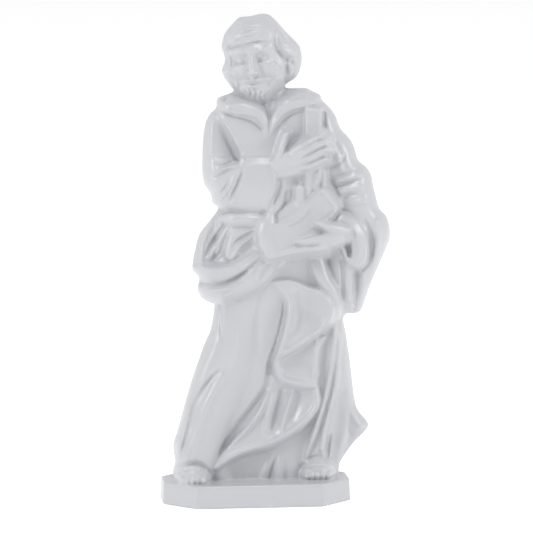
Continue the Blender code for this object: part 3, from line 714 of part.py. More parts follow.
def hair(c, side=1.0):
    lump(c, side, (0.3, 3.2, -1.2), (6.0, 6.0, 6.1), 0.4)              # crown
    if side < 0:
        lump(c, side, (0.4, -1.5, -2.6), (6.0, 5.4, 4.6), 0.8)
        return
    # fringe swept across the brow, the flat temple lock, and the thick curls beyond the parting
    c.rod([(-5.6, 91.9, 2.8, 0.9, 0.9), (-4.2, 92.6, 4.1, 1.3, 1.0), (-1.8, 93.1, 4.8, 1.5, 1.0),
           (1.0, 93.4, 5.0, 1.5, 1.0), (3.2, 93.6, 4.7, 1.4, 1.0)], blend=1.2)
    c.rod([(-5.9, 92.6, 2.4, 0.9, 0.9), (-6.0, 90.4, 2.6, 0.9, 0.9), (-5.7, 88.4, 2.6, 0.9, 0.9),
           (-5.7, 86.4, 2.8, 1.0, 0.9), (-5.1, 84.4, 3.0, 0.9, 0.9), (-4.4, 82.9, 3.2, 0.7, 0.8)],
          blend=1.1)
    c.fold([(-5.0, 90.8, 0.1, 0.5), (-5.0, 88.6, 0.35, 0.6), (-4.9, 86.4, 0.35, 0.6),
            (-4.3, 84.2, 0.1, 0.5)])
    c.fold([(-4.7, 90.4, 0.1, 0.5), (-4.6, 88.6, 0.35, 0.8), (-4.6, 87.2, 0.3, 0.8),
            (-4.5, 85.6, 0.1, 0.5)])
    c.rod([(4.0, 96.4, 3.2, 1.0, 1.0), (4.7, 94.4, 3.9, 1.3, 1.2), (5.0, 92.2, 4.3, 1.5, 1.3),
           (6.0, 90.6, 4.3, 1.5, 1.3), (7.0, 89.8, 4.0, 1.3, 1.2)], blend=0.3)
    c.rod([(6.2, 93.6, 2.8, 1.0, 1.0), (7.6, 92.0, 3.0, 1.2, 1.1), (8.2, 90.2, 3.0, 1.2, 1.1),
           (8.4, 88.0, 2.8, 1.2, 1.0), (8.0, 86.2, 2.6, 1.2, 1.0), (6.9, 85.0, 2.4, 1.1, 1.0)],
          blend=0.4)
    # ear
    c.rod([(6.5, 88.2, 3.2, 0.5, 0.5), (7.1, 87.0, 3.4, 0.5, 0.5), (6.8, 85.8, 3.3, 0.45, 0.5),
           (6.2, 85.1, 3.1, 0.4, 0.4)], blend=0.15)
    c.fold([(6.2, 87.5, -0.4, 0.4), (6.3, 86.4, -0.4, 0.4)])
    c.fold([(5.9, 88.6, -0.15, 0.4), (6.8, 89.0, -0.5, 0.5), (8.2, 89.1, -0.45, 0.45)])
    c.fold([(6.2, 91.0, -0.25, 0.5), (6.9, 90.5, -0.35, 0.5)])
    # strands
    c.fold([(3.7, 94.4, -0.3, 0.4), (3.8, 92.8, -0.7, 0.4), (4.0, 91.2, -0.7, 0.4),
            (5.2, 89.4, -0.6, 0.4), (5.8, 88.5, -0.4, 0.4)], steep=0.5)
    c.fold([(-4.9, 91.5, -0.15, 0.35), (-2.6, 91.5, -0.4, 0.35), (-1.0, 91.9, -0.6, 0.4),
            (0.2, 92.2, -0.6, 0.4), (3.2, 92.1, -0.35, 0.35)], steep=0.4)
    for k in range(3):
        c.fold([(-5.2 + 0.3 * k, 92.4 + 0.7 * k, 0.05, 0.28),
                (-3.2 + 0.3 * k, 92.9 + 0.75 * k, 0.3, 0.32), (0.2, 93.2 + 0.8 * k, 0.25, 0.32),
                (3.0, 93.1 + 0.9 * k, 0.1, 0.3)])
    for k in range(5):
        drop = 0.75 * k
        c.fold([(3.4, 95.9 - 0.4 * drop, 0.1, 0.35), (0.6 - 0.1 * drop, 97.3 - drop, 0.3, 0.4),
                (-2.6, 96.8 - 1.1 * drop, 0.35, 0.4), (-4.8 - 0.15 * drop, 94.8 - drop, 0.25, 0.35),
                (-6.0, 93.0 - 0.5 * drop, 0.05, 0.3)])
    for k in range(5):
        c.fold([(3.6 + 0.5 * k, 96.4 - 0.7 * k, 0.05, 0.28),
                (4.6 + 0.6 * k, 94.4 - 0.55 * k, 0.45, 0.34),
                (5.2 + 0.75 * k, 92.0 - 0.4 * k, 0.45, 0.34),
                (6.4 + 0.6 * k, 89.8 - 0.3 * k, 0.1, 0.28)])
    for k in range(3):
        c.fold([(8.6 - 0.5 * k, 89.4, 0.05, 0.25), (8.8 - 0.5 * k, 87.6, 0.3, 0.3),
                (8.2 - 0.5 * k, 85.8, 0.25, 0.3)])
    for k in range(4):
        v = 90.6 - 1.9 * k
        c.fold([(-6.3, v, 0.1, 0.35), (-5.8, v - 0.8, 0.35, 0.4), (-5.2, v - 1.5, 0.1, 0.35)])


def edge_fall(c):
    """Both halves of the mould meet along the outline, where the surface rounds down to the parting
    line."""
    ring = outline()
    ring = np.vstack([ring, ring[:1]])
    s = beside(ring, c.a, c.h)[0]
    x = np.clip(1 - s / EDGE_REACH, 0, 1)
    c.out = PARTING + (c.out - PARTING) * np.sqrt(1 - x**2)
    return c.out


def front(a, h):
    c = Clay(a, h, 1.2)
    masses(c)
    skirt(c)
    feet(c)
    bundle(c)
    cascade(c)
    far_side(c)
    waist(c)
    chest(c)
    near_arm(c)
    head(c)
    hair(c)
    collar(c)
    tools(c)
    near_hand(c)
    far_hand(c)
    return edge_fall(c)


def back(a, h):
    """The plainer back: the cloak hanging from the shoulders in long folds to the base."""
    c = Clay(a, h, 1.2)
    c.rod([(2.5, 80, 4.6, 8, 2.5), (3.2, 75, 5.0, 11, 3.0), (4.8, 66, 5.4, 14, 3.4),
           (6.4, 56, 5.8, 17, 3.4), (6.4, 48, 5.8, 17, 3.4), (4.0, 38, 5.6, 13, 3.4),
           (3.0, 26, 5.8, 14, 3.4), (2, 16, 6.0, 16, 3.0), (1, 6, 6.4, 17, 3.0),
           (0.6, -2, 6.4, 17, 3.0)], blend=1.0)
    c.rod([(12, 79, 3.6, 3.6, 2.2), (16, 72, 4.4, 5.0, 3), (20, 63, 5.0, 5.4, 3),
           (22.4, 55, 5.0, 5.0, 3), (22, 47, 4.4, 4, 2.4), (20.4, 40, 3.4, 3, 2)], blend=1.0)
    c.rod([(-5.5, 79, 3.4, 3.0, 2), (-7.6, 74, 4.4, 3.6, 2.4), (-7.8, 66, 5.0, 4.0, 2.6),
           (-7.6, 60, 4.8, 3.6, 2.4)], blend=1.0)
    for k in range(5):
        top, foot = -5.5 + 5.2 * k, -11.5 + 6.2 * k
        middle = 0.5 * (top + foot)
        c.fold([(2 + 0.6 * top, 73 - 2.5 * abs(k - 2), 0.0, 0.9), (top, 56, 0.5, 1.4),
                (middle, 38, 0.8, 1.7), (foot, 20, 1.0, 2.0), (foot - 0.4, 5, 1.0, 2.2)])
        c.fold([(3.0 + 0.7 * top, 67 - 2 * (k % 2), 0.0, 0.8), (top + 2.6, 50, -0.4, 1.1),
                (middle + 3.0, 34, -0.7, 1.3), (foot + 3.2, 18, -0.9, 1.5), (foot + 3.0, 5, -0.9, 1.6)])
    # sweeps from the far shoulder, and the sleeves' creases
    for k in range(3):
        c.fold([(13.5 + 1.2 * k, 75 - 2.5 * k, 0.0, 0.9), (17.6 + 0.7 * k, 66 - 3 * k, 0.45, 1.2),
                (19.4 + 0.5 * k, 56 - 3 * k, 0.55, 1.2), (19.0 + 0.6 * k, 45 - k, 0.1, 1.0)])
        c.fold([(-9.6, 70 - 3.4 * k, -0.1, 0.7), (-7.6, 69.2 - 3.4 * k, -0.4, 0.8),
                (-5.0, 69.6 - 3.2 * k, -0.05, 0.7)])
    head(c, -1.0)
    hair(c, -1.0)
    for k in range(9):
        u = -5.2 + 1.3 * k
        c.fold([(0.9 + 0.25 * u, 96.2, 0.0, 0.4), (0.9 + 0.8 * u, 92, 0.4, 0.5),
                (0.9 + u + 0.3 * (-1) ** k, 87, 0.45, 0.55), (0.9 + 0.85 * u, 83.6, 0.2, 0.5)])
    c.rod([(-7.0, 80.2, 3.2, 1.2, 1.1), (-3.2, 80.5, 5.4, 1.5, 1.2), (2.6, 80.7, 6.4, 1.7, 1.3),
           (8, 81.0, 5.6, 1.5, 1.2), (12.2, 81.0, 3.6, 1.2, 1.1)], blend=0.3)
    c.fold([(-6.6, 78.6, -0.1, 0.6), (-3, 78.7, -0.35, 0.6), (2.6, 78.7, -0.35, 0.6),
            (8, 79.1, -0.35, 0.6), (12.4, 79.4, -0.1, 0.6)])
    return edge_fall(c)


def stand_up(drawn):
    """Where each drawn point (across, up, out) stands in the figure, in the line of sight through it."""
    yaw, dip = radians(SIGHT_TURN), radians(SIGHT_DIP)
    ahead = np.array([sin(yaw) * cos(dip), cos(yaw) * cos(dip), -sin(dip)])
    right = np.array([cos(yaw), -sin(yaw), 0.0])
    over = np.cross(right, ahead)
    eye = np.array([MIDDLE_ACROSS, 0.0, MIDDLE_UP]) - SIGHT_DISTANCE * ahead
    ray = (SIGHT_DISTANCE * ahead + (drawn[:, :1] - MIDDLE_ACROSS * cos(yaw)) * right
           + (drawn[:, 1:2] - MIDDLE_UP) * over)
    reach = (-drawn[:, 2] - eye[1]) / ray[:, 1]
    return eye + reach[:, None] * ray


def slab():
    """The outline of the drawing as an even slab, finely divided."""
    bm = bmesh.new()
    corners = [bm.verts.new((a, HALF_SLAB, h)) for a, h in outline()[:, :2]]
    rim = [bm.edges.new(pair) for pair in zip(corners, corners[1:] + corners[:1])]
    filled = bmesh.ops.triangle_fill(bm, edges=rim, use_beauty=True)
    faces = [item for item in filled["geom"] if isinstance(item, bmesh.types.BMFace)]
    grown = bmesh.ops.extrude_face_region(bm, geom=faces)
    lifted = [item for item in grown["geom"] if isinstance(item, bmesh.types.BMVert)]
    bmesh.ops.translate(bm, verts=lifted, vec=(0, -2 * HALF_SLAB, 0))
    bmesh.ops.recalc_face_normals(bm, faces=bm.faces)
    mesh = bpy.data.meshes.new("drawing")
    bm.to_mesh(mesh)
    bm.free()
    return mesh


def shaped(mesh, *modifiers):
    """The mesh after these modifiers."""
    piece = bpy.data.objects.new("shaping", mesh)
    bpy.context.scene.collection.objects.link(piece)
    for kind, settings in modifiers:
        modifier = piece.modifiers.new(kind, kind)
        for name, value in settings.items():
            setattr(modifier, name, value)
    graph = bpy.context.evaluated_depsgraph_get()
    result = bpy.data.meshes.new_from_object(piece.evaluated_get(graph))
    bpy.data.objects.remove(piece)
    return result


def points_of(mesh):
    flat = np.empty(3 * len(mesh.vertices), np.float32)
    mesh.vertices.foreach_get("co", flat)
    return flat.reshape(-1, 3).astype(float)


def move_points(mesh, points):
    mesh.vertices.foreach_set("co", points.astype(np.float32).ravel())
    mesh.update()


def seated(standing):
    """The standing figure at its own height, on the base's top and a little way into it."""
    seat = (standing - (0, 0, DRAWN_FLOOR)) * FIGURE_HEIGHT / DRAWN_HEIGHT + (0, 0, BASE_THICKNESS)
    seat[:, 2] = np.maximum(seat[:, 2], BASE_THICKNESS - BURIED)
    return seat


def figure():
    """The slab swelled out to the carved front and back, then stood up from the drawing."""
    mesh = shaped(slab(), ("REMESH", {"mode": "VOXEL", "voxel_size": DRAWN_STEP}))
    drawn = points_of(mesh)
    share = np.clip(-drawn[:, 1] / (HALF_SLAB - SLAB_SKIN), -1, 1)
    depth = np.where(share > 0, front(drawn[:, 0], drawn[:, 2]), back(drawn[:, 0], drawn[:, 2]))
    move_points(mesh, seated(stand_up(np.column_stack([drawn[:, 0], drawn[:, 2], share * depth]))))
    mesh = shaped(mesh, ("REMESH", {"mode": "VOXEL", "voxel_size": CARVED_STEP}))
    kept = min(1.0, FACES / (2.0 * len(mesh.polygons)))
    return shaped(mesh, ("TRIANGULATE", {}), ("DECIMATE", {"ratio": kept}))


def base():
    """The low base: a rectangle with its corners cut off, its sides leaning in a little."""
    bm = bmesh.new()
    bmesh.ops.create_cube(bm, size=1.0)
    bmesh.ops.scale(bm, verts=bm.verts, vec=(BASE_WIDTH, BASE_DEPTH, BASE_THICKNESS))
    uprights = [e for e in bm.edges if abs(e.verts[0].co.z - e.verts[1].co.z) > 0.5 * BASE_THICKNESS]
    bmesh.ops.bevel(bm, geom=uprights, offset=BASE_CORNER, offset_type="OFFSET", segments=1, profile=0.5,
                    affect="EDGES", clamp_overlap=False)
    for v in bm.verts:
        if v.co.z > 0:
            v.co.x -= BASE_LEAN * (1 if v.co.x > 0 else -1)
            v.co.y -= BASE_LEAN * (1 if v.co.y > 0 else -1)
        v.co.z += 0.5 * BASE_THICKNESS
    mesh = bpy.data.meshes.new("base")
    bm.to_mesh(mesh)
    bm.free()
    return mesh


def metres(mesh):
    for vertex in mesh.vertices:
        vertex.co *= 0.001
    mesh.update()
    return mesh


for leftover in list(bpy.data.objects):
    bpy.data.objects.remove(leftover)
statue = bpy.data.objects.new(NAME, metres(figure()))
foot = bpy.data.objects.new("base_to_join", metres(base()))
collection = bpy.data.collections.new(NAME)
bpy.context.scene.collection.children.link(collection)
collection.objects.link(statue)
collection.objects.link(foot)
join = statue.modifiers.new("join the base", "BOOLEAN")
join.operation = "UNION"
join.solver = "EXACT"
join.object = foot
bpy.context.view_layer.update()
joined = bpy.data.meshes.new_from_object(statue.evaluated_get(bpy.context.evaluated_depsgraph_get()))
statue.modifiers.clear()
statue.data = joined
joined.name = NAME
bpy.data.objects.remove(foot)

plastic = bpy.data.materials.new("white plastic")
plastic.use_nodes = True
shader = plastic.node_tree.nodes["Principled BSDF"]
shader.inputs["Base Color"].default_value = PLASTIC_COLOUR
shader.inputs["Roughness"].default_value = PLASTIC_ROUGHNESS
joined.materials.clear()
joined.materials.append(plastic)
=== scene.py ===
"""The finished look of a small white plastic devotional figure, moulded in one piece with its low
base."""
from math import cos, radians, sin

import bmesh
import bpy
import numpy as np
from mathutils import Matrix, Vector


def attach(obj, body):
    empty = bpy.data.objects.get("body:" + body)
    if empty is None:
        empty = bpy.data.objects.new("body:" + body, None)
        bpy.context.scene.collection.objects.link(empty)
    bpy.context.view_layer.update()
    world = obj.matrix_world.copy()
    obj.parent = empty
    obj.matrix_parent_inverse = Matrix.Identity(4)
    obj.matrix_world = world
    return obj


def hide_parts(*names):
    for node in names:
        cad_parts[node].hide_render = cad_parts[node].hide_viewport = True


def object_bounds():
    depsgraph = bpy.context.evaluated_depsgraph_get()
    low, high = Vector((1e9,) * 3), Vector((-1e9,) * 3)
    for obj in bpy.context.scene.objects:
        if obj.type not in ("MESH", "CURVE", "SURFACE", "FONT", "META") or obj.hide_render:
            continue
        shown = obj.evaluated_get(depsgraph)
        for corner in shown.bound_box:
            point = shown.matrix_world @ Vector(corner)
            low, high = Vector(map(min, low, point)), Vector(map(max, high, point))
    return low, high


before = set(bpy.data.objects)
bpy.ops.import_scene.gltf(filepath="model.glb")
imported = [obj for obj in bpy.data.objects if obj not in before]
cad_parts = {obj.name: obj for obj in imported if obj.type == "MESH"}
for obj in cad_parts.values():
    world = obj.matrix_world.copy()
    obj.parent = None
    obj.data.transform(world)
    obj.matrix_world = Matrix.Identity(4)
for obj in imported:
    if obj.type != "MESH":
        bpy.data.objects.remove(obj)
solid_low, solid_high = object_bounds()

# The figure is one moulding of gloss white plastic, pressed between two half moulds that meet along its
# outline. It is worked as a relief in the drawing of its front, in millimetres: each form has its place
# across and up, and its depth out of the plane where the halves meet.

# short steps in a line from one of its points to the next
LINE_STEPS = 6
# the depth of the bare ground that the forms are laid on
GROUND = 1.2
# the share of a form's half width that is truly round, and how steeply its side falls beyond that
ROUNDED = 0.96
WALL = 2.4
# the least half width of a rod or a fold, and the share by which a steep side can be narrowed
LEAST_WIDTH = 0.05
STEEPEST = 0.75
# how far past its own edge a rod, a fold and a panel are still worked out, and how many half axes from
# its middle a dome is
ROD_REACH = 3.0
FOLD_REACH = 0.1
PANEL_REACH = 2.0
DOME_REACH = 2.5


def smooth_line(points, closed=False):
    """A rounded line through the points, with whatever values they carry."""
    points = np.array(points, float)
    if len(points) < 3 and not closed:
        shares = np.linspace(0, 1, LINE_STEPS + 1)[:, None]
        return points[0] + (points[-1] - points[0]) * shares
    if closed:
        padded = np.vstack([points[-1:], points, points[:2]])
    else:
        padded = np.vstack([2 * points[0] - points[1], points, 2 * points[-1] - points[-2]])
    line = []
    for p0, p1, p2, p3 in zip(padded, padded[1:], padded[2:], padded[3:]):
        for i in range(LINE_STEPS):
            t = i / LINE_STEPS
            bend = (2 * p0 - 5 * p1 + 4 * p2 - p3) * t**2 + (3 * p1 - p0 - 3 * p2 + p3) * t**3
            line.append(0.5 * (2 * p1 + (p2 - p0) * t + bend))
    if not closed:
        line.append(points[-1])
    return np.array(line)


def beside(line, a, h):
    """Each point's distance from the line, the side it lies on, and the line's values there."""
    start, run = line[:-1], line[1:] - line[:-1]
    lengths = np.hypot(run[:, 0], run[:, 1])
    across, up = a[:, None] - start[:, 0], h[:, None] - start[:, 1]
    share = np.clip((across * run[:, 0] + up * run[:, 1]) / (lengths**2 + 1e-12), 0, 1)
    gap_a, gap_h = across - share * run[:, 0], up - share * run[:, 1]
    k = (gap_a**2 + gap_h**2).argmin(axis=1)
    n = np.arange(len(a))
    share = share[n, k]
    distance = np.hypot(gap_a[n, k], gap_h[n, k])
    side = np.sign(run[k, 0] * up[n, k] - run[k, 1] * across[n, k])
    return distance, side, start[k] + share[:, None] * run[k]


def inside(outline, a, h):
    """True for the points inside a closed outline."""
    x1, y1 = outline[:, 0], outline[:, 1]
    x2, y2 = np.roll(x1, -1), np.roll(y1, -1)
    within = np.zeros(len(a), bool)
    for xa, ya, xb, yb in zip(x1, y1, x2, y2):
        if ya == yb:
            continue
        crosses = (ya > h) != (yb > h)
        within ^= crosses & (a < (xb - xa) * (h - ya) / (yb - ya) + xa)
    return within


def bulge(squares):
    """The thin plate's own function of the squared distance."""
    return 0.5 * squares * np.log(squares + 1e-9)


def sheet_through(points):
    """A smooth surface through the (across, up, out) points, as a function: level for one point, a
    plane for three and a thin plate for more."""
    points = np.array(points, float)
    xy, z = points[:, :2], points[:, 2]
    if len(points) == 1:
        return lambda a, h: np.full(len(a), z[0])
    flat = np.column_stack([np.ones(len(xy)), xy])
    if len(points) == 3:
        plane = np.linalg.solve(flat, z)
        return lambda a, h: plane[0] + plane[1] * a + plane[2] * h
    gaps = ((xy[:, None] - xy[None]) ** 2).sum(2)
    system = np.block([[bulge(gaps), flat], [flat.T, np.zeros((3, 3))]])
    weights = np.linalg.solve(system, np.concatenate([z, np.zeros(3)]))

    def height(a, h):
        total = weights[-3] + weights[-2] * a + weights[-1] * h
        for (pa, ph), w in zip(xy, weights):
            total = total + w * bulge((a - pa) ** 2 + (h - ph) ** 2)
        return total

    return height


def blended(x, y, k):
    """The larger of two depths, rounded into each other over k."""
    share = np.clip(0.5 + 0.5 * (x - y) / k, 0, 1)
    return y + (x - y) * share + k * share * (1 - share)


class Clay:
    """The depth of the surface in front of the middle plane, at each point of the drawing."""

    def __init__(self, across, up):
        self.a, self.h = across, up
        self.out = np.full(len(across), GROUND)

    def near(self, line, reach):
        """Which of the points lie within reach of the box round a line."""
        low, high = line[:, :2].min(axis=0) - reach, line[:, :2].max(axis=0) + reach
        level = (self.h > low[1]) & (self.h < high[1])
        return np.nonzero(level & (self.a > low[0]) & (self.a < high[0]))[0]

    def rod(self, points, blend):
        """A rounded form along a line of (across, up, crest, half width, drop to its sides)."""
        line = smooth_line(points)
        n = self.near(line, line[:, 3].max() + ROD_REACH)
        d, _, at = beside(line, self.a[n], self.h[n])
        crest, width, drop = at[:, 2], np.maximum(at[:, 3], LEAST_WIDTH), at[:, 4]
        x = np.minimum(d / width, ROUNDED)
        top = crest - drop * (1 - np.sqrt(1 - x**2)) - np.maximum(d - ROUNDED * width, 0) * WALL
        self.out[n] = blended(self.out[n], top, blend)

    def fold(self, points, steep=0.0):
        """A raised or (below 0) sunk stroke along (across, up, height, half width). Steep narrows its
        left (+) or right (-) side."""
        line = smooth_line(points)
        n = self.near(line, line[:, 3].max() + FOLD_REACH)
        d, side, at = beside(line, self.a[n], self.h[n])
        reach = np.maximum(at[:, 3], LEAST_WIDTH) * (1 - STEEPEST * np.clip(side * steep, 0, 1))
        x = np.clip(d / reach, 0, 1)
        self.out[n] += at[:, 2] * (1 - x**2) ** 2

    def depth_inside(self, outline, sharp):
        """The points near an outline, and how far inside it each one lies (below 0 outside)."""
        closed = np.array(outline, float) if sharp else smooth_line(outline, closed=True)
        ring = np.vstack([closed, closed[:1]])
        n = self.near(ring, PANEL_REACH)
        d = beside(ring, self.a[n], self.h[n])[0]
        return n, np.where(inside(closed, self.a[n], self.h[n]), d, -d)

    def panel(self, outline, surface, edge, blend=0.35, sharp=False):
        """A layer with this outline, whose top is the smooth surface through some points, with a
        rounded edge."""
        n, s = self.depth_inside(outline, sharp)
        top = sheet_through(surface)(self.a[n], self.h[n])
        into = np.clip(edge - s, 0, edge)
        top = top - edge + np.sqrt(edge**2 - into**2) - np.maximum(-s, 0) * WALL
        self.out[n] = blended(self.out[n], top, blend)

    def pit(self, outline, surface, edge, blend):
        """A hollow with this outline, down to the smooth surface through some points."""
        n, s = self.depth_inside(outline, False)
        floor = sheet_through(surface)(self.a[n], self.h[n])
        into = np.clip(edge - s, 0, edge)
        floor = floor + edge - np.sqrt(edge**2 - into**2) + np.maximum(-s, 0) * WALL
        self.out[n] = -blended(-self.out[n], -floor, blend)

    def dome(self, at, size, blend):
        """An ellipsoid's front: its crest at (across, up, out) and its half axes across, up and out."""
        r = np.hypot((self.a - at[0]) / size[0], (self.h - at[1]) / size[1])
        n = np.nonzero(r < DOME_REACH)[0]
        r = r[n]
        inner = np.minimum(r, ROUNDED)
        fall = np.maximum(r - ROUNDED, 0) * min(size[0], size[1]) * WALL
        self.out[n] = blended(self.out[n], at[2] - size[2] * (1 - np.sqrt(1 - inner**2)) - fall, blend)


# the outline in the drawing, as (across, up), down one side of the figure and up the other
OUTLINE = {
    "crown": [(1.6, 97.9), (-1.0, 97.4), (-3.0, 97.2), (-4.0, 96.4), (-6.0, 94.0)],
    "temple and jaw": [(-6.7, 91.4), (-6.4, 90.2), (-6.0, 88.6), (-6.6, 86.6), (-6.2, 85.2),
                       (-4.6, 83.0), (-4.2, 82.4)],
    "near shoulder": [(-5.4, 81.8), (-7.3, 81.1), (-7.7, 80.2), (-7.8, 79.0), (-9.2, 77.6),
                      (-10.1, 75.2)],
    "near sleeve": [(-10.5, 71.6), (-10.6, 66.6), (-10.2, 64.0), (-8.9, 61.8), (-8.5, 60.1),
                    (-7.4, 59.0)],
    "cloak at the near hip": [(-8.8, 56.8), (-11.0, 54.0), (-11.9, 51.2), (-12.6, 47.4), (-12.3, 46.4),
                              (-11.2, 45.0), (-11.5, 42.8), (-10.6, 41.0), (-9.0, 40.1), (-8.2, 39.9)],
    "near leg": [(-8.2, 39.0), (-8.9, 34.8), (-10.4, 31.2), (-12.5, 25.2), (-14.0, 20.2), (-15.4, 15.0),
                 (-16.3, 12.2)],
    "near foot": [(-16.3, 10.2), (-16.0, 8.4), (-16.4, 6.6), (-16.2, 3.0), (-15.0, -3.0)],
    "far foot": [(15.6, -3.0), (16.6, 3.0), (16.8, 7.4), (17.6, 9.2)],
    "flaring hem": [(19.8, 12.2), (21.8, 14.2), (22.6, 15.5), (22.2, 16.6), (20.4, 19.0), (19.6, 23.0)],
    "far leg": [(19.0, 28.2), (18.2, 33.6), (17.7, 36.6), (18.2, 37.8)],
    "cloak from the far arm": [(20.2, 38.0), (21.4, 39.0), (22.8, 43.0), (25.0, 48.2), (26.8, 52.6),
                               (26.9, 55.0)],
    "far sleeve": [(26.2, 57.4), (24.8, 59.0), (24.2, 61.2), (23.6, 63.6), (23.2, 65.6), (22.2, 67.2),
                   (20.6, 68.6)],
    "far shoulder": [(19.8, 71.2), (18.8, 73.0), (17.0, 75.0), (16.0, 77.6), (14.4, 79.6), (13.3, 80.6),
                     (13.0, 81.6)],
    "collar": [(11.4, 82.4), (10.0, 83.0), (6.4, 83.0), (5.9, 83.5), (6.6, 84.1)],
    "curls": [(8.4, 85.4), (9.3, 88.2), (9.0, 91.0), (8.2, 92.2), (6.2, 94.2), (4.6, 96.0), (3.2, 97.4)],
}


def outline():
    """The whole outline as one closed line."""
    return smooth_line(sum(OUTLINE.values(), []), closed=True)


def turned(yaw, pitch, roll):
    """Columns: the head's own right, up and out, in the drawing's across, up and out."""
    y, p, r = np.radians([yaw, pitch, roll])
    ry = np.array([[np.cos(y), 0, np.sin(y)], [0, 1, 0], [-np.sin(y), 0, np.cos(y)]])
    rx = np.array([[1, 0, 0], [0, np.cos(p), -np.sin(p)], [0, np.sin(p), np.cos(p)]])
    rz = np.array([[np.cos(r), -np.sin(r), 0], [np.sin(r), np.cos(r), 0], [0, 0, 1]])
    return rz @ ry @ rx


# shares of the squared radius: how far inside a ball's rim its side becomes a straight slope, and how
# far outside the rim that slope ends
BALL_RIM = 0.08
BALL_REACH = 1.5


def ball(clay, centre, radii, axes, blend, side):
    """The front (side 1) or back (side -1) of an ellipsoid turned by axes."""
    m = axes @ np.diag(1 / np.array(radii, float) ** 2) @ axes.T
    da, dh = clay.a - centre[0], clay.h - centre[1]
    b = (m[0, 2] * da + m[1, 2] * dh) / m[2, 2]
    c = (m[0, 0] * da**2 + 2 * m[0, 1] * da * dh + m[1, 1] * dh**2 - 1) / m[2, 2]
    disc = b * b - c
    scale = 1 / m[2, 2]
    floor = BALL_RIM * scale
    z = np.where(disc > floor, -side * b + np.sqrt(np.maximum(disc, floor)),
                 -side * b + np.sqrt(floor) + (disc - floor) / (2 * np.sqrt(floor)))
    near = disc > -BALL_REACH * scale
    top = side * centre[2] + z
    clay.out = np.where(near, blended(clay.out, top, blend), clay.out)


def masses(c):
    """The big forms under the cloth."""
    c.rod([(2.5, 81, 3.2, 5, 2.5), (3, 76, 4.6, 9, 3), (3.5, 66, 5.4, 11, 3), (3.5, 56, 5.6, 11.5, 3),
           (3.5, 46, 5.8, 11.5, 3), (3, 36, 5.2, 11.5, 3), (2.5, 26, 4.5, 12.5, 2.6),
           (2, 16, 3.6, 14, 2), (1.5, 6, 3.2, 15, 1.6), (1.5, -3, 3.2, 15, 1.6)], blend=1.0)
    # far arm and the cloak that hangs from it
    c.rod([(11.5, 79, 3.8, 3.6, 2.0), (14.5, 74, 4.4, 5.2, 2.6), (17.6, 67, 5.0, 6.0, 2.8),
           (20.6, 60.5, 5.6, 6.0, 2.8), (22.4, 55, 5.4, 5.4, 2.8)], blend=0.8)
    c.rod([(23.6, 58, 4.0, 3.4, 2), (24.2, 53, 4.0, 3.2, 2), (22.6, 47, 3.8, 3.2, 2),
           (21.0, 41, 3.4, 2.4, 1.6), (20, 38, 3.0, 2, 1.5)], blend=0.8)
    c.rod([(17.4, 52, 4.8, 3.2, 2), (17.6, 44, 4.8, 3.2, 2), (17.6, 37, 3.8, 2.6, 1.6)], blend=1.0)
    # upper part of the near arm
    c.rod([(-5.5, 79.5, 2.8, 2.6, 2), (-7.6, 76, 3.6, 3.2, 2.4), (-7.6, 71, 4.4, 3.6, 2.6),
           (-6.8, 66, 5.6, 4.2, 3), (-5.6, 62.5, 6.2, 3.8, 3)], blend=0.6)
    # side cloak at the near hip
    c.rod([(-7.2, 58.5, 2.6, 2.6, 1.8), (-8.6, 54.5, 3.0, 3.6, 2.0), (-9.2, 50.5, 3.4, 3.8, 2.0),
           (-9.4, 47, 4.0, 3.6, 2.0)], blend=1.0)
    # near leg, out to its foot
    c.rod([(-2.6, 46, 5.0, 6.4, 4), (-4.0, 38, 5.6, 5.6, 4), (-5.6, 30, 6.2, 6.0, 4),
           (-8.6, 22, 6.2, 6.0, 4), (-11.2, 14, 6.2, 5.4, 4), (-12.2, 8, 6.6, 4.6, 3.6)], blend=1.0)
    # far leg
    c.rod([(11, 46, 4.4, 6.0, 3), (13, 36, 4.4, 5.4, 3), (14.2, 27, 4.2, 5.0, 3),
           (14.6, 18, 4.2, 4.6, 3), (13.6, 10, 4.2, 3.8, 3), (12.8, 7, 4.4, 3.6, 3)], blend=1.0)
    c.rod([(17.2, 36, 2.6, 2.6, 1.6), (18.0, 28, 2.6, 2.6, 1.6), (18.6, 21, 2.4, 3.2, 1.6),
           (20.4, 15.8, 2.2, 2.4, 1.4)], blend=0.6)


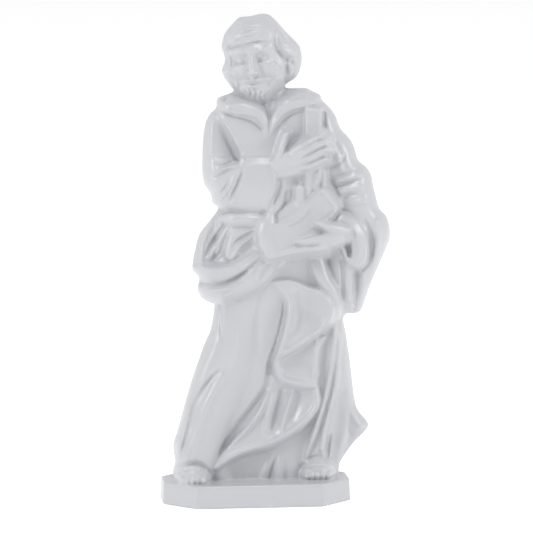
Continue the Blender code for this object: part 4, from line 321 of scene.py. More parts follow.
def skirt(c):
    """The robe over the legs."""
    # hollow between the legs, under the cloak's edge
    c.fold([(5.0, 24, -0.2, 5), (2.5, 18, -0.4, 5.5), (0.5, 12, -0.5, 5.5), (-0.5, 7, -0.5, 5),
            (-0.5, 4, -0.5, 5)])
    # thigh: light plane, and the turn of the cloth beside it
    c.fold([(-3.3, 40, 0.25, 1.2), (-3.5, 34, 0.3, 1.4), (-3.9, 29, 0.25, 1.6), (-4.8, 25.6, 0.05, 1.6)])
    c.fold([(-6.8, 39.8, -0.35, 0.5), (-6.8, 34.6, -0.4, 0.5), (-6.4, 32.4, -0.05, 0.5)])
    c.fold([(-7.5, 39.6, 0.2, 0.6), (-7.6, 35, 0.25, 0.6), (-8.2, 31.5, 0.1, 0.6)])
    c.fold([(1.2, 41.5, -0.3, 1.0), (0.6, 36, -0.35, 1.2), (0.4, 30, -0.1, 1.2)])
    # the deep crease over the shin, and the shin's ridge
    c.fold([(-6.6, 26.8, -0.05, 0.8), (-7.6, 26, -0.4, 1.0), (-8.8, 24.8, -0.7, 1.1),
            (-9.8, 23.4, -0.8, 1.3), (-11, 21.4, -0.8, 1.5), (-11.9, 19.6, -0.8, 1.5),
            (-12.4, 17.6, -0.8, 1.5), (-12.9, 15.6, -0.8, 1.5), (-13.5, 13.6, -0.7, 1.3),
            (-14.2, 11.2, -0.8, 1.1), (-14.8, 9.4, -0.4, 0.9)], steep=-0.4)
    c.fold([(-5.6, 26.2, 0.1, 1.2), (-6.6, 24.6, 0.4, 1.3), (-8, 22.2, 0.5, 1.4), (-9.4, 19.6, 0.5, 1.4),
            (-10.4, 16.6, 0.45, 1.4), (-11.4, 12.6, 0.4, 1.3), (-11.8, 9.6, 0.3, 1.2)])
    c.fold([(-9.6, 29.5, 0.1, 1.0), (-11.4, 25.5, 0.45, 1.1), (-13, 21.2, 0.5, 1.1),
            (-13.9, 17, 0.45, 1.0), (-14.8, 13, 0.4, 1.0), (-15.4, 9.6, 0.3, 0.9)])
    # the long diagonal groove to the middle
    c.fold([(3.0, 27.6, -0.4, 1.0), (2.6, 23.6, -0.6, 1.1), (1.0, 21, -0.8, 1.2),
            (-1.0, 18.2, -0.8, 1.3), (-3.0, 15.8, -0.7, 1.3), (-4.6, 13.4, -0.6, 1.3),
            (-6.0, 11.2, -0.5, 1.3), (-7.2, 9.4, -0.3, 1.2), (-8.2, 7.6, -0.2, 1.1)], steep=0.2)
    # far leg: two sharp ridges, the groove between, and the outer flare
    c.fold([(16.2, 37.5, 0.4, 0.8), (15.7, 31.6, 0.7, 0.85), (15.2, 26.6, 0.9, 0.85),
            (14.2, 21.6, 1.1, 0.9), (13.0, 17.6, 1.4, 0.95), (11.8, 13.6, 1.4, 1.0),
            (10.6, 10.6, 1.1, 0.9), (10.0, 8.4, 0.8, 0.8)])
    c.fold([(17.5, 37, 0.4, 0.7), (16.8, 30.6, 0.7, 0.75), (16.2, 23.6, 0.9, 0.8),
            (15.1, 18.6, 1.2, 0.85), (14.1, 14.6, 1.2, 0.9), (13.3, 10.8, 0.9, 0.9)])
    c.fold([(17.2, 22, -0.5, 1.6), (16.6, 18.5, -0.9, 2.2), (16.2, 15, -1.3, 2.6),
            (15.6, 11.5, -1.6, 2.4), (15.3, 8.5, -1.2, 1.8)])
    c.fold([(14.9, 13.5, -0.6, 0.6), (14.5, 11.2, -1.0, 0.7), (14.3, 9.2, -0.8, 0.6)])
    c.fold([(17.9, 31, 0.3, 0.8), (18.4, 25.6, 0.5, 0.9), (19.0, 21.6, 0.6, 1.0), (19.6, 18.2, 0.7, 1.2),
            (21.2, 15.6, 0.7, 1.2)])
    # hem between the feet
    c.fold([(3.2, 9.6, 0.05, 0.8), (2.4, 7.4, 0.4, 1.1), (1.6, 5.4, 0.5, 1.2), (1.2, 3.4, 0.5, 1.2)],
           steep=-0.3)
    c.fold([(4.4, 9.4, -0.1, 0.5), (3.8, 7.6, -0.4, 0.6), (3.2, 5.4, -0.5, 0.7), (3.0, 3.4, -0.5, 0.7)])
    c.rod([(5.3, 9.6, 3.4, 0.7, 0.9), (5.0, 7.4, 3.8, 1.1, 1.1), (4.8, 3.0, 4.1, 1.3, 1.1)], blend=0.5)
    c.rod([(7.6, 7.0, 3.5, 1.5, 0.9), (7.7, 3.0, 3.9, 1.7, 0.9)], blend=0.5)
    c.fold([(9.5, 7.4, -0.4, 0.5), (9.5, 3.0, -0.9, 0.5)])
    c.rod([(-7.2, 8.2, 4.4, 1.6, 1.6), (-6.9, 5.4, 4.3, 2.0, 1.6), (-6.6, 2.4, 4.2, 2.2, 1.6)],
          blend=1.0)


def feet(c):
    """Both feet with their toes, and the hem's edge round them."""
    c.fold([(-14.9, 7.6, -0.5, 0.7), (-12.6, 7.9, -1.0, 0.8), (-11, 7.7, -1.0, 0.8),
            (-9.6, 6.4, -0.8, 0.8), (-9.2, 4.5, -0.6, 0.8)])
    c.dome((-12.4, 4.9, 7.6), (3.1, 2.5, 3.0), blend=0.3)
    for k in range(5):
        c.dome((-14.6 + 1.08 * k, 4.45 + 0.02 * k, 7.9 + 0.1 * k), (0.62, 0.8, 0.8), blend=0.12)
    c.fold([(-9.9, 6.8, 0.5, 0.5), (-9.9, 4.2, 0.6, 0.5)])
    c.dome((12.6, 6.3, 5.8), (3.1, 2.9, 3.0), blend=0.3)
    for k in range(5):
        c.dome((10.3 + 1.1 * k, 5.3 + 0.05 * k, 6.3), (0.56, 0.8, 0.9), blend=0.08)
    c.fold([(9.8, 7.2, 0.35, 0.45), (12.6, 7.7, 0.4, 0.45), (15.4, 7.3, 0.35, 0.45)])
    c.fold([(9.9, 8.6, -0.25, 0.5), (12.6, 9.4, -0.5, 0.5), (15.0, 8.6, -0.35, 0.5)])


def bundle(c):
    """The cloak gathered across the hips in thick rolls."""
    c.rod([(-11.4, 46.2, 5.0, 1.6, 1.5), (-7.8, 45.6, 6.4, 2.0, 1.8), (-4.4, 46.2, 7.0, 2.0, 1.8),
           (-1.6, 47.8, 7.2, 2.1, 1.8), (1.0, 49.6, 7.0, 1.9, 1.6)], blend=0.4)
    c.rod([(-10.6, 42.4, 5.2, 1.5, 1.5), (-6.8, 42.2, 6.8, 2.1, 2.0), (-3.6, 43.2, 7.2, 2.4, 2.2),
           (-0.4, 45.0, 7.4, 2.8, 2.2), (2.6, 47.2, 7.4, 2.2, 1.8), (5.6, 48.8, 7.0, 1.4, 1.4)],
          blend=0.4)
    c.fold([(-11.4, 46.9, 0.2, 0.6), (-8.5, 46.8, 0.4, 0.65), (-5.2, 47.0, 0.4, 0.65),
            (-1.8, 48.7, 0.35, 0.6), (1.0, 50.6, 0.2, 0.5)])
    c.fold([(-9.4, 43.2, -0.2, 0.4), (-7.6, 43.5, -0.5, 0.5), (-5.4, 44.1, -0.75, 0.55),
            (-3.0, 45.5, -0.75, 0.55), (-0.8, 47.3, -0.5, 0.5), (1.2, 49.0, -0.15, 0.4)])
    c.fold([(-9.4, 42.3, 0.2, 0.5), (-6.8, 42.6, 0.45, 0.55), (-4.2, 43.6, 0.5, 0.55),
            (-2.4, 44.9, 0.4, 0.5), (-1.0, 46.1, 0.1, 0.5)])
    c.fold([(-8.8, 41.0, 0.2, 0.55), (-6.6, 41.2, 0.3, 0.6), (-4.6, 42.0, 0.2, 0.6)])
    c.fold([(-1.1, 46.8, 0.25, 0.5), (-0.5, 45.2, 0.3, 0.5), (-0.4, 44.2, 0.1, 0.5)])
    c.fold([(2.8, 48.2, -0.15, 0.7), (1.7, 46.6, -0.5, 0.85), (1.0, 44.9, -0.45, 0.7)])
    c.fold([(2.2, 44.4, 0.15, 0.5), (3.4, 45.8, 0.4, 0.6), (4.8, 47.6, 0.15, 0.5)])


def cascade(c):
    """The cloak's edge falling in lobes from under the far hand."""
    # third lobe, lowest
    c.panel([(3.0, 24.4), (1.6, 21.4), (-0.4, 18.2), (-2.8, 15.0), (-5.0, 12.0), (-7.0, 9.6),
             (-8.4, 7.4), (-7.6, 6.6), (-4.2, 8.8), (0, 10.2), (3, 11.0), (5.4, 12.2), (8, 13.9),
             (10.4, 15.8), (12.4, 18.2), (13.2, 20.6), (12.9, 22.8), (12.0, 26), (8, 27)],
            [(2.6, 22, 3.8), (-2.5, 13.6, 3.8), (-7.4, 7.6, 5.4), (3, 12.0, 4.8), (8.4, 15.2, 5.2),
             (12.4, 20, 5.4), (8, 24, 4.2), (5, 17, 3.8)], edge=0.9)
    c.fold([(2.6, 22, 0.5, 0.6), (0.9, 18.2, 1.0, 0.8), (-1.0, 15.6, 1.0, 0.8), (-2.8, 13.6, 0.8, 0.8),
            (-5.0, 11.4, 0.3, 0.8)])
    c.fold([(3.6, 22.0, 0.2, 0.8), (2.4, 17.6, 0.4, 1.0), (1.8, 14.0, 0.3, 0.9)])
    c.fold([(5.4, 22.4, -0.5, 0.8), (4.6, 18.6, -0.9, 1.0), (3.8, 15.4, -0.7, 0.9),
            (3.3, 13.2, -0.1, 0.7)])
    c.fold([(7.6, 22.4, 0.5, 0.6), (6.5, 19.0, 1.0, 0.8), (5.7, 16.4, 0.8, 0.8), (5.0, 14.0, 0.2, 0.8)])
    c.fold([(9.0, 22, -0.5, 1.2), (8.4, 19.4, -0.5, 1.3), (7.4, 16.8, -0.2, 1.1)])
    c.fold([(12.2, 26, 0.3, 0.9), (12.2, 23, 0.5, 0.9), (12.5, 20.6, 0.6, 0.9), (11.6, 18.4, 0.6, 0.9),
            (9.6, 16.3, 0.55, 0.9), (7.2, 14.5, 0.5, 0.85), (4.4, 12.8, 0.45, 0.8),
            (1.4, 11.6, 0.4, 0.8), (-1.8, 10.6, 0.4, 0.8), (-4.6, 9.4, 0.3, 0.8), (-6.8, 8.0, 0.1, 0.7)])
    # second lobe
    c.panel([(4.6, 31.0), (3.6, 28.6), (3.6, 27.0), (4.2, 25.0), (5.5, 23.8), (7.4, 23.2), (9.4, 23.0),
             (11.6, 23.0), (12.7, 25), (12.8, 28), (13.2, 31), (14, 33.6), (9, 33)],
            [(3.8, 27.6, 5.4), (5.6, 24.6, 5.9), (9.4, 23.8, 5.9), (12.2, 25, 5.5), (12.6, 30, 5.3),
             (8, 28.5, 4.4), (5.4, 31, 5.4), (10.6, 32.4, 5.0)], edge=0.7)
    c.fold([(4.9, 29.6, 0.3, 0.8), (4.6, 27.4, 0.6, 0.9), (5.2, 25.4, 0.65, 0.9), (6.8, 24.4, 0.6, 0.9),
            (9.2, 24.0, 0.5, 0.9), (11.6, 24.0, 0.2, 0.8)])
    c.fold([(12.2, 33.4, 0.2, 0.6), (12.1, 29, 0.45, 0.7), (12.1, 25, 0.4, 0.7)])
    # first lobe, right under the hand
    c.panel([(3.2, 44.2), (5, 44.7), (7, 44.8), (9, 44.1), (11, 43.1), (13, 42.5), (14.5, 41.5),
             (15.6, 39.9), (15.8, 38.2), (15.2, 36.5), (13.7, 34.8), (11.5, 33.0), (9.5, 31.6),
             (7.7, 30.4), (6.1, 29.4), (4.0, 28.6), (4.6, 31.6), (5.5, 34.6), (6.2, 37.6), (6.2, 40.0),
             (5.0, 42.4)],
            [(4, 44, 6.0), (9, 43.8, 6.8), (14, 41.4, 7.2), (15.2, 37.6, 6.8), (11, 33.6, 6.4),
             (5.4, 30, 6.2), (7.2, 38, 6.8), (10.6, 38.6, 5.6)], edge=0.6)
    c.fold([(3.4, 44.2, 0.1, 0.5), (5, 44.4, 0.3, 0.5), (7, 44.4, 0.35, 0.5), (9, 43.7, 0.35, 0.55),
            (11, 42.7, 0.35, 0.6), (13, 42, 0.4, 0.7), (14.4, 40.9, 0.45, 0.8), (15.1, 39.4, 0.45, 0.8),
            (15.0, 37.6, 0.5, 0.9), (13.8, 35.8, 0.5, 0.9), (11.8, 34, 0.45, 0.85),
            (9.4, 32.3, 0.4, 0.8), (7.0, 30.8, 0.35, 0.7), (5.2, 29.8, 0.2, 0.6)])
    c.fold([(7.2, 41.0, 0.3, 0.6), (7.0, 37.6, 0.65, 0.75), (6.3, 34.6, 0.75, 0.75),
            (5.4, 31.6, 0.7, 0.75), (4.7, 29.6, 0.4, 0.7)])
    c.fold([(8.6, 41.5, -0.3, 1.2), (8.6, 37.6, -0.45, 1.4), (8.0, 34.4, -0.3, 1.2)])
    c.fold([(6.2, 42, -0.2, 0.5), (5.9, 38.6, -0.4, 0.6), (5.2, 34.6, -0.5, 0.7), (4.4, 31.6, -0.5, 0.8),
            (3.2, 28.6, -0.6, 0.8), (2.9, 26, -0.5, 0.8)])
    # fold that leads from the hand to the lobe's outer side, and the gaps beside it
    c.fold([(14.4, 50, -0.4, 0.8), (14.4, 47.4, -0.6, 0.8), (15.2, 44.6, -0.4, 0.6),
            (16.0, 43.0, -0.1, 0.4)])
    c.rod([(11.8, 50, 5.6, 1.4, 1.0), (12.6, 47.2, 6.2, 1.5, 1.0), (13.7, 44.4, 6.6, 1.3, 1.0),
           (15.2, 42.2, 6.8, 1.2, 1.0), (16.1, 40, 6.4, 0.9, 0.9), (16.3, 37.8, 5.6, 0.7, 0.8)],
          blend=0.3)
    c.fold([(14.7, 34.8, -0.2, 0.5), (14.0, 31.6, -0.4, 0.6), (13.6, 28.6, -0.4, 0.6),
            (13.5, 25.6, -0.3, 0.5), (13.6, 23.4, -0.1, 0.5)])


def far_side(c):
    """The cloak and sleeve beyond the far hand."""
    c.fold([(17.5, 48.6, -0.4, 0.6), (17.5, 44.5, -0.6, 0.6), (17.4, 40.6, -0.4, 0.5)])
    c.rod([(18.6, 48.2, 5.0, 0.8, 0.7), (18.7, 44.5, 4.8, 0.8, 0.7), (18.6, 40.8, 4.4, 0.7, 0.7)],
          blend=0.4)
    c.fold([(20.1, 47.4, -0.8, 0.8), (20.1, 43, -1.0, 0.8), (19.8, 38.8, -0.6, 0.6)])
    c.fold([(21.8, 46.5, 0.3, 0.8), (21.7, 43, 0.5, 0.9), (21.1, 39.5, 0.3, 0.8)])
    c.fold([(24.4, 56.4, 0.3, 0.9), (24.7, 52.6, 0.5, 0.9), (24.2, 49, 0.4, 0.9),
            (23.2, 45.6, 0.1, 0.8)])
    # the sleeve's wrinkles
    c.fold([(14.8, 66.8, -0.35, 0.6), (16.6, 67.7, -0.4, 0.6), (17.6, 68.7, -0.25, 0.6),
            (18.6, 70.6, -0.05, 0.5)], steep=-0.5)
    c.fold([(15.4, 65.1, -0.35, 0.6), (18, 65.7, -0.4, 0.6), (20.4, 66.6, -0.1, 0.6)], steep=-0.5)
    c.fold([(16.2, 63.2, -0.5, 0.8), (18.6, 64.0, -0.55, 0.8), (21.6, 64.8, -0.1, 0.7)], steep=-0.5)
    c.fold([(17.8, 60.9, -0.4, 0.7), (19.2, 61.6, -0.4, 0.7), (22.8, 61.5, -0.05, 0.6)], steep=-0.5)
    c.fold([(17.4, 58.7, -0.4, 0.6), (19.8, 58.0, -0.1, 0.5)])
    c.fold([(14.6, 72.5, 0.15, 0.8), (16.4, 69.6, 0.4, 0.9), (17.2, 66.8, 0.4, 0.9)])
    c.fold([(16.4, 64.4, 0.4, 0.7), (19, 65, 0.4, 0.7), (21.4, 65.6, 0.2, 0.7)])
    c.fold([(17.2, 62.2, 0.4, 0.8), (20, 63, 0.4, 0.8), (22.4, 63.2, 0.2, 0.8)])
    c.fold([(18.6, 59.8, 0.3, 0.8), (21, 60.2, 0.4, 0.9), (23.2, 60.2, 0.2, 0.8)])
    # the dark gap between the chest and the sleeve
    c.fold([(13.9, 77.4, -0.2, 0.5), (13.9, 73.4, -0.4, 0.6), (14.1, 69.6, -0.6, 0.7),
            (14.4, 65.6, -1.0, 0.9), (15.5, 63.0, -1.0, 0.9), (16.5, 60.6, -0.6, 0.7)])
    # cuff: a thick ring round the wrist
    c.panel([(15.4, 57.0), (17.0, 58.1), (20.0, 56.9), (21.8, 54.6), (22.5, 52.4), (22.5, 49.6),
             (21.7, 47.8), (20.4, 47.0), (18.9, 47.3), (18.0, 48.4), (17.1, 50.6), (16.4, 52)],
            [(16.4, 57, 6.4), (20.6, 55, 6.6), (21.8, 50.5, 6.2), (20.2, 48, 6.0), (18.2, 49.5, 6.2),
             (17.4, 53, 6.8)], edge=1.0, blend=0.3)
    c.fold([(15.8, 56.6, 0.2, 0.7), (17.6, 56.4, 0.4, 0.8), (19.2, 55.5, 0.5, 0.8),
            (20.3, 54.1, 0.5, 0.8), (20.9, 52, 0.5, 0.8), (20.8, 49.6, 0.4, 0.8),
            (20.0, 48.1, 0.2, 0.7)])
    c.pit([(17.7, 52.4), (18.5, 52.5), (18.9, 51.7), (19.05, 50.4), (19.0, 49.4), (18.7, 49.4),
           (18.3, 50.8)],
          [(18.6, 51, 4.7)], edge=0.5, blend=0.25)
    c.fold([(21.9, 56.6, -0.2, 0.5), (23.0, 54.2, -0.7, 0.7), (23.3, 51.4, -0.9, 0.8),
            (22.9, 48.6, -0.7, 0.7), (21.8, 46.8, -0.3, 0.6)])


def waist(c):
    """Belt end, the cloth that hangs from it, and the dark gap beside it."""
    c.fold([(-7.0, 58.4, 0.3, 0.7), (-8.8, 55.6, 0.6, 0.8), (-10.3, 52.8, 0.7, 0.8),
            (-10.8, 50, 0.6, 0.8), (-10.8, 47.6, 0.4, 0.8)])
    c.fold([(-6.0, 55.9, -0.5, 0.5), (-7.4, 53.8, -0.9, 0.6), (-8.8, 51.6, -0.8, 0.6),
            (-9.6, 49.6, -0.4, 0.6)])
    c.fold([(-5.6, 54.8, 0.2, 0.5), (-7.2, 52.2, 0.4, 0.7), (-8.6, 49.8, 0.2, 0.6)])
    c.fold([(-5.6, 53.0, -0.2, 0.5), (-6.2, 51.4, -0.4, 0.7), (-6.9, 49.8, -0.7, 0.8),
            (-8.2, 48.8, -0.5, 0.7)])
    c.panel([(-4.6, 55.8), (-5.2, 53.6), (-6.0, 50.6), (-5.8, 48.9), (-4.6, 48.3), (-3.2, 49),
             (-0.6, 50), (1.0, 50.4), (1.6, 53), (1.2, 56)],
            [(-4.8, 54, 5.8), (-5.6, 50, 6.0), (-3.6, 49.2, 6.4), (0.8, 51, 6.4), (1, 55, 6.8),
             (-2, 52, 6.2)], edge=0.9)
    c.fold([(0.2, 54.4, -0.4, 0.45), (-1.6, 53.6, -0.6, 0.5), (-3.4, 52.5, -0.5, 0.5),
            (-4.4, 51.4, -0.1, 0.4)])
    c.fold([(-0.5, 53.4, 0.4, 0.5), (-2.0, 52.3, 0.55, 0.5), (-3.1, 51.2, 0.55, 0.5),
            (-4.3, 49.3, 0.4, 0.5)])
    c.fold([(-2.2, 50.6, -0.3, 0.9), (-0.6, 51.6, -0.5, 1.1), (0.6, 52.4, -0.3, 0.8)])
    c.rod([(-6.2, 57.0, 5.0, 0.9, 0.8), (-4.6, 56.8, 6.2, 1.3, 1.0), (-2.4, 56.7, 6.8, 1.4, 1.1),
           (0.8, 56.6, 7.2, 1.4, 1.1)], blend=0.15)
    c.fold([(-4.8, 55.3, -0.2, 0.35), (-2.4, 55.2, -0.4, 0.4), (0.6, 55.1, -0.3, 0.4)])


def chest(c):
    """The tunic's front, and the folds that cross it from the near shoulder."""
    c.panel([(-7.0, 78.4), (-0.4, 77.4), (2.8, 75.0), (5, 77), (8, 79), (10.4, 79), (12.6, 78),
             (12.6, 66), (4, 62), (-2.6, 67), (-3.0, 70.2), (-4.2, 72.6), (-5.4, 75.0)],
            [(-6.4, 77.6, 4.6), (-3, 76, 5.2), (8, 76, 5.4), (4, 66, 6.4), (-2, 70, 6.0), (9.6, 68, 5.8),
             (12.4, 74, 5.0)], edge=0.6, blend=0.6)
    c.fold([(-6.8, 74.6, -0.1, 0.6), (-5.8, 72.8, -0.35, 0.7), (-4.9, 71.2, -0.6, 0.75),
            (-4.2, 69.8, -0.8, 0.8), (-3.5, 68.4, -0.7, 0.75)])
    c.fold([(-8.0, 77.8, 0.1, 0.5), (-6.6, 76.6, 0.4, 0.5), (-5.0, 74.2, 0.55, 0.55),
            (-3.5, 71.4, 0.6, 0.55), (-2.6, 69.8, 0.5, 0.5), (-2.1, 68.4, 0.2, 0.4)])
    c.fold([(5.0, 73.8, 0.15, 0.6), (5.2, 76.2, 0.2, 0.6)])


def collar(c):
    """The folded collar's two halves, and the neck opening between them."""
    # neck opening, with the strand and the hollow beside it
    c.fold([(-3.0, 81.0, -0.2, 0.5), (-2.1, 80.1, -0.7, 0.6), (-1.0, 79.2, -0.4, 0.5)])
    c.fold([(-1.1, 79.9, 0.2, 0.3), (-0.4, 79.2, 0.4, 0.32), (0.3, 78.4, 0.2, 0.3)])
    c.fold([(1.6, 80.2, -0.4, 0.5), (2.0, 78.6, -0.8, 0.5), (2.4, 76.8, -0.6, 0.4)])
    c.fold([(3.8, 80.8, 0.3, 0.3), (3.7, 79.6, 0.4, 0.32), (3.4, 78.4, 0.2, 0.3)])
    c.rod([(-7.0, 80.4, 4.0, 0.9, 0.9), (-6.4, 79.4, 4.8, 1.3, 1.1), (-4, 79.0, 5.6, 1.5, 1.1),
           (-1, 78.5, 6.2, 1.3, 1.1), (0.7, 77.7, 6.4, 1.1, 1.0), (1.8, 76.2, 6.4, 0.9, 0.8),
           (2.5, 73.8, 6.0, 0.5, 0.5)], blend=0.3)
    c.rod([(12.2, 81.2, 4.2, 1.1, 0.9), (11.4, 80.4, 5.0, 1.3, 1.1), (8.2, 80.0, 5.8, 1.5, 1.1),
           (6.2, 79.2, 6.2, 1.4, 1.1), (4.9, 77.8, 6.4, 1.1, 1.0), (4.0, 76.2, 6.4, 0.9, 0.8),
           (3.2, 74.0, 6.0, 0.5, 0.5)], blend=0.3)
    c.rod([(7.0, 82.0, 3.6, 1.0, 0.8), (9.6, 82.2, 3.8, 1.0, 0.8), (12.0, 81.8, 3.6, 0.8, 0.8)],
          blend=0.3)
    c.fold([(-6.4, 81.2, 0.1, 0.6), (-5.4, 80.2, -0.3, 0.6), (-3, 80.4, -0.6, 0.6)])
    c.fold([(-7.4, 79.7, 0.1, 0.4), (-6.4, 78.8, 0.35, 0.4), (-4, 78.2, 0.35, 0.4),
            (-1, 77.7, 0.35, 0.4), (0.6, 77, 0.35, 0.4), (1.8, 75.6, 0.3, 0.4), (2.4, 73.8, 0.1, 0.4)])
    c.fold([(3.2, 74.2, 0.1, 0.4), (3.7, 75.6, 0.3, 0.4), (4.8, 77, 0.35, 0.4), (6, 78.2, 0.35, 0.4),
            (8, 79, 0.35, 0.4), (11, 79.6, 0.35, 0.4), (12.2, 80.4, 0.1, 0.4)])
    c.fold([(7.2, 80.4, -0.3, 0.6), (7.9, 80.9, -0.8, 0.8), (9.4, 81.3, -0.4, 0.6)])
    # shadow line under both halves
    c.fold([(-7.6, 78.9, -0.2, 0.4), (-6, 78.0, -0.5, 0.4), (-3.4, 77.3, -0.3, 0.4),
            (-0.4, 76.3, -0.3, 0.4), (1.4, 74.8, -0.3, 0.4)], steep=0.4)
    c.fold([(4.4, 75, -0.3, 0.4), (5.8, 76.6, -0.3, 0.4), (7.4, 77.8, -0.3, 0.4), (9.6, 78.2, -0.3, 0.4),
            (11.8, 78.6, -0.3, 0.4)])


def near_arm(c):
    """The near forearm's broad sleeve across the waist, and its wrinkles."""
    c.panel([(-8.6, 60.2), (-9.6, 62.6), (-9.4, 65.5), (-7.0, 67.6), (-3.4, 68.4), (-1, 68.8),
             (2.4, 68.9), (3.8, 68.0), (4.3, 66.4), (4.6, 64.8), (4.5, 63.2), (4.1, 61.6), (3.4, 60.3),
             (3.0, 59.2), (3.0, 58.3), (1.8, 57.9), (0.6, 57.8), (-2, 58.1), (-4.2, 58.5), (-6.8, 59.2)],
            [(-9, 61, 4.2), (-8.4, 65.4, 5.0), (-4, 67.6, 6.2), (2.6, 68, 7.0), (4.2, 64.6, 7.8),
             (1.6, 59, 7.6), (-4, 59.2, 6.4), (-1, 64, 7.4), (-6, 63, 6.3)], edge=2.0, blend=0.8)
    c.fold([(3.2, 68.6, 0.1, 0.5), (3.7, 66.7, 0.4, 0.55), (4.0, 65, 0.5, 0.6), (3.9, 63.2, 0.5, 0.6),
            (3.3, 61.2, 0.5, 0.7), (2.6, 59.8, 0.5, 0.7), (2.6, 58.6, 0.4, 0.6)])
    c.fold([(-2.4, 66.6, -0.2, 0.4), (-3.0, 64.8, -0.6, 0.5), (-3.9, 62.8, -0.6, 0.5),
            (-4.6, 61, -0.4, 0.4), (-5.1, 59.8, -0.1, 0.4)])
    c.fold([(-1.9, 66.2, 0.15, 0.5), (-3.0, 63.4, 0.3, 0.5), (-4.0, 61.2, 0.3, 0.5),
            (-4.8, 59.8, 0.1, 0.5)])
    c.fold([(-3.6, 65.8, 0.1, 0.5), (-4.8, 63.9, 0.4, 0.5), (-6.0, 61.9, 0.4, 0.5),
            (-7.1, 60.5, 0.15, 0.5)])
    c.fold([(-4.6, 64.8, -0.05, 0.4), (-5.6, 63.3, -0.4, 0.45), (-6.5, 62.2, -0.35, 0.45),
            (-7.4, 61.4, -0.1, 0.4)])
    c.fold([(-9.0, 69.3, -0.1, 0.5), (-7, 69.1, -0.4, 0.5), (-4.8, 69.3, -0.3, 0.5)])
    c.fold([(-8.2, 67.7, -0.1, 0.5), (-6.4, 67.5, -0.5, 0.5), (-4.4, 67.9, -0.4, 0.5)])
    c.fold([(-8.6, 64.9, -0.1, 0.5), (-6.6, 65.9, -0.5, 0.5), (-4.2, 67.1, -0.4, 0.5)])
    c.fold([(-8.6, 66.2, 0.1, 0.5), (-6.6, 66.7, 0.3, 0.5), (-4.6, 67.5, 0.2, 0.5)])
    c.fold([(-8.4, 77, 0.2, 0.7), (-8.8, 74, 0.35, 0.8), (-8.8, 70, 0.3, 0.8)])
    c.fold([(-3.6, 68.8, -0.3, 0.6), (-2.2, 69.1, -0.25, 0.5), (0.6, 69.2, -0.25, 0.5),
            (3.0, 69.2, -0.25, 0.5)])
    # under the sleeve
    c.fold([(-7.6, 58.9, -0.2, 0.4), (-6.4, 58.7, -0.25, 0.4), (-4, 58.0, -0.25, 0.4),
            (-1, 57.5, -0.25, 0.4), (1.4, 57.2, -0.2, 0.4)])
    # the sleeve's opening: crescent hollow and the inner edge
    c.rod([(5.7, 64.6, 6.8, 0.45, 0.5), (5.7, 63, 7.0, 0.5, 0.6), (5.45, 61.6, 7.1, 0.5, 0.6),
           (5.15, 60.2, 7.2, 0.5, 0.6), (4.7, 59.2, 7.3, 0.5, 0.6), (4.0, 58.5, 7.4, 0.55, 0.6),
           (3.2, 58.2, 7.6, 0.6, 0.6)], blend=0.15)
    c.rod([(4.8, 64.8, 6.6, 0.8, 0.4), (4.6, 62.4, 6.8, 0.8, 0.4), (4.1, 60.6, 7.2, 0.8, 0.4),
           (3.5, 59.2, 7.4, 0.8, 0.4)], blend=0.3)
    c.fold([(4.95, 64.4, -0.2, 0.35), (4.85, 63, -0.6, 0.4), (4.5, 61.8, -0.7, 0.42),
            (4.1, 60.8, -0.7, 0.42), (3.75, 59.8, -0.6, 0.4), (3.5, 59.2, -0.2, 0.35)])


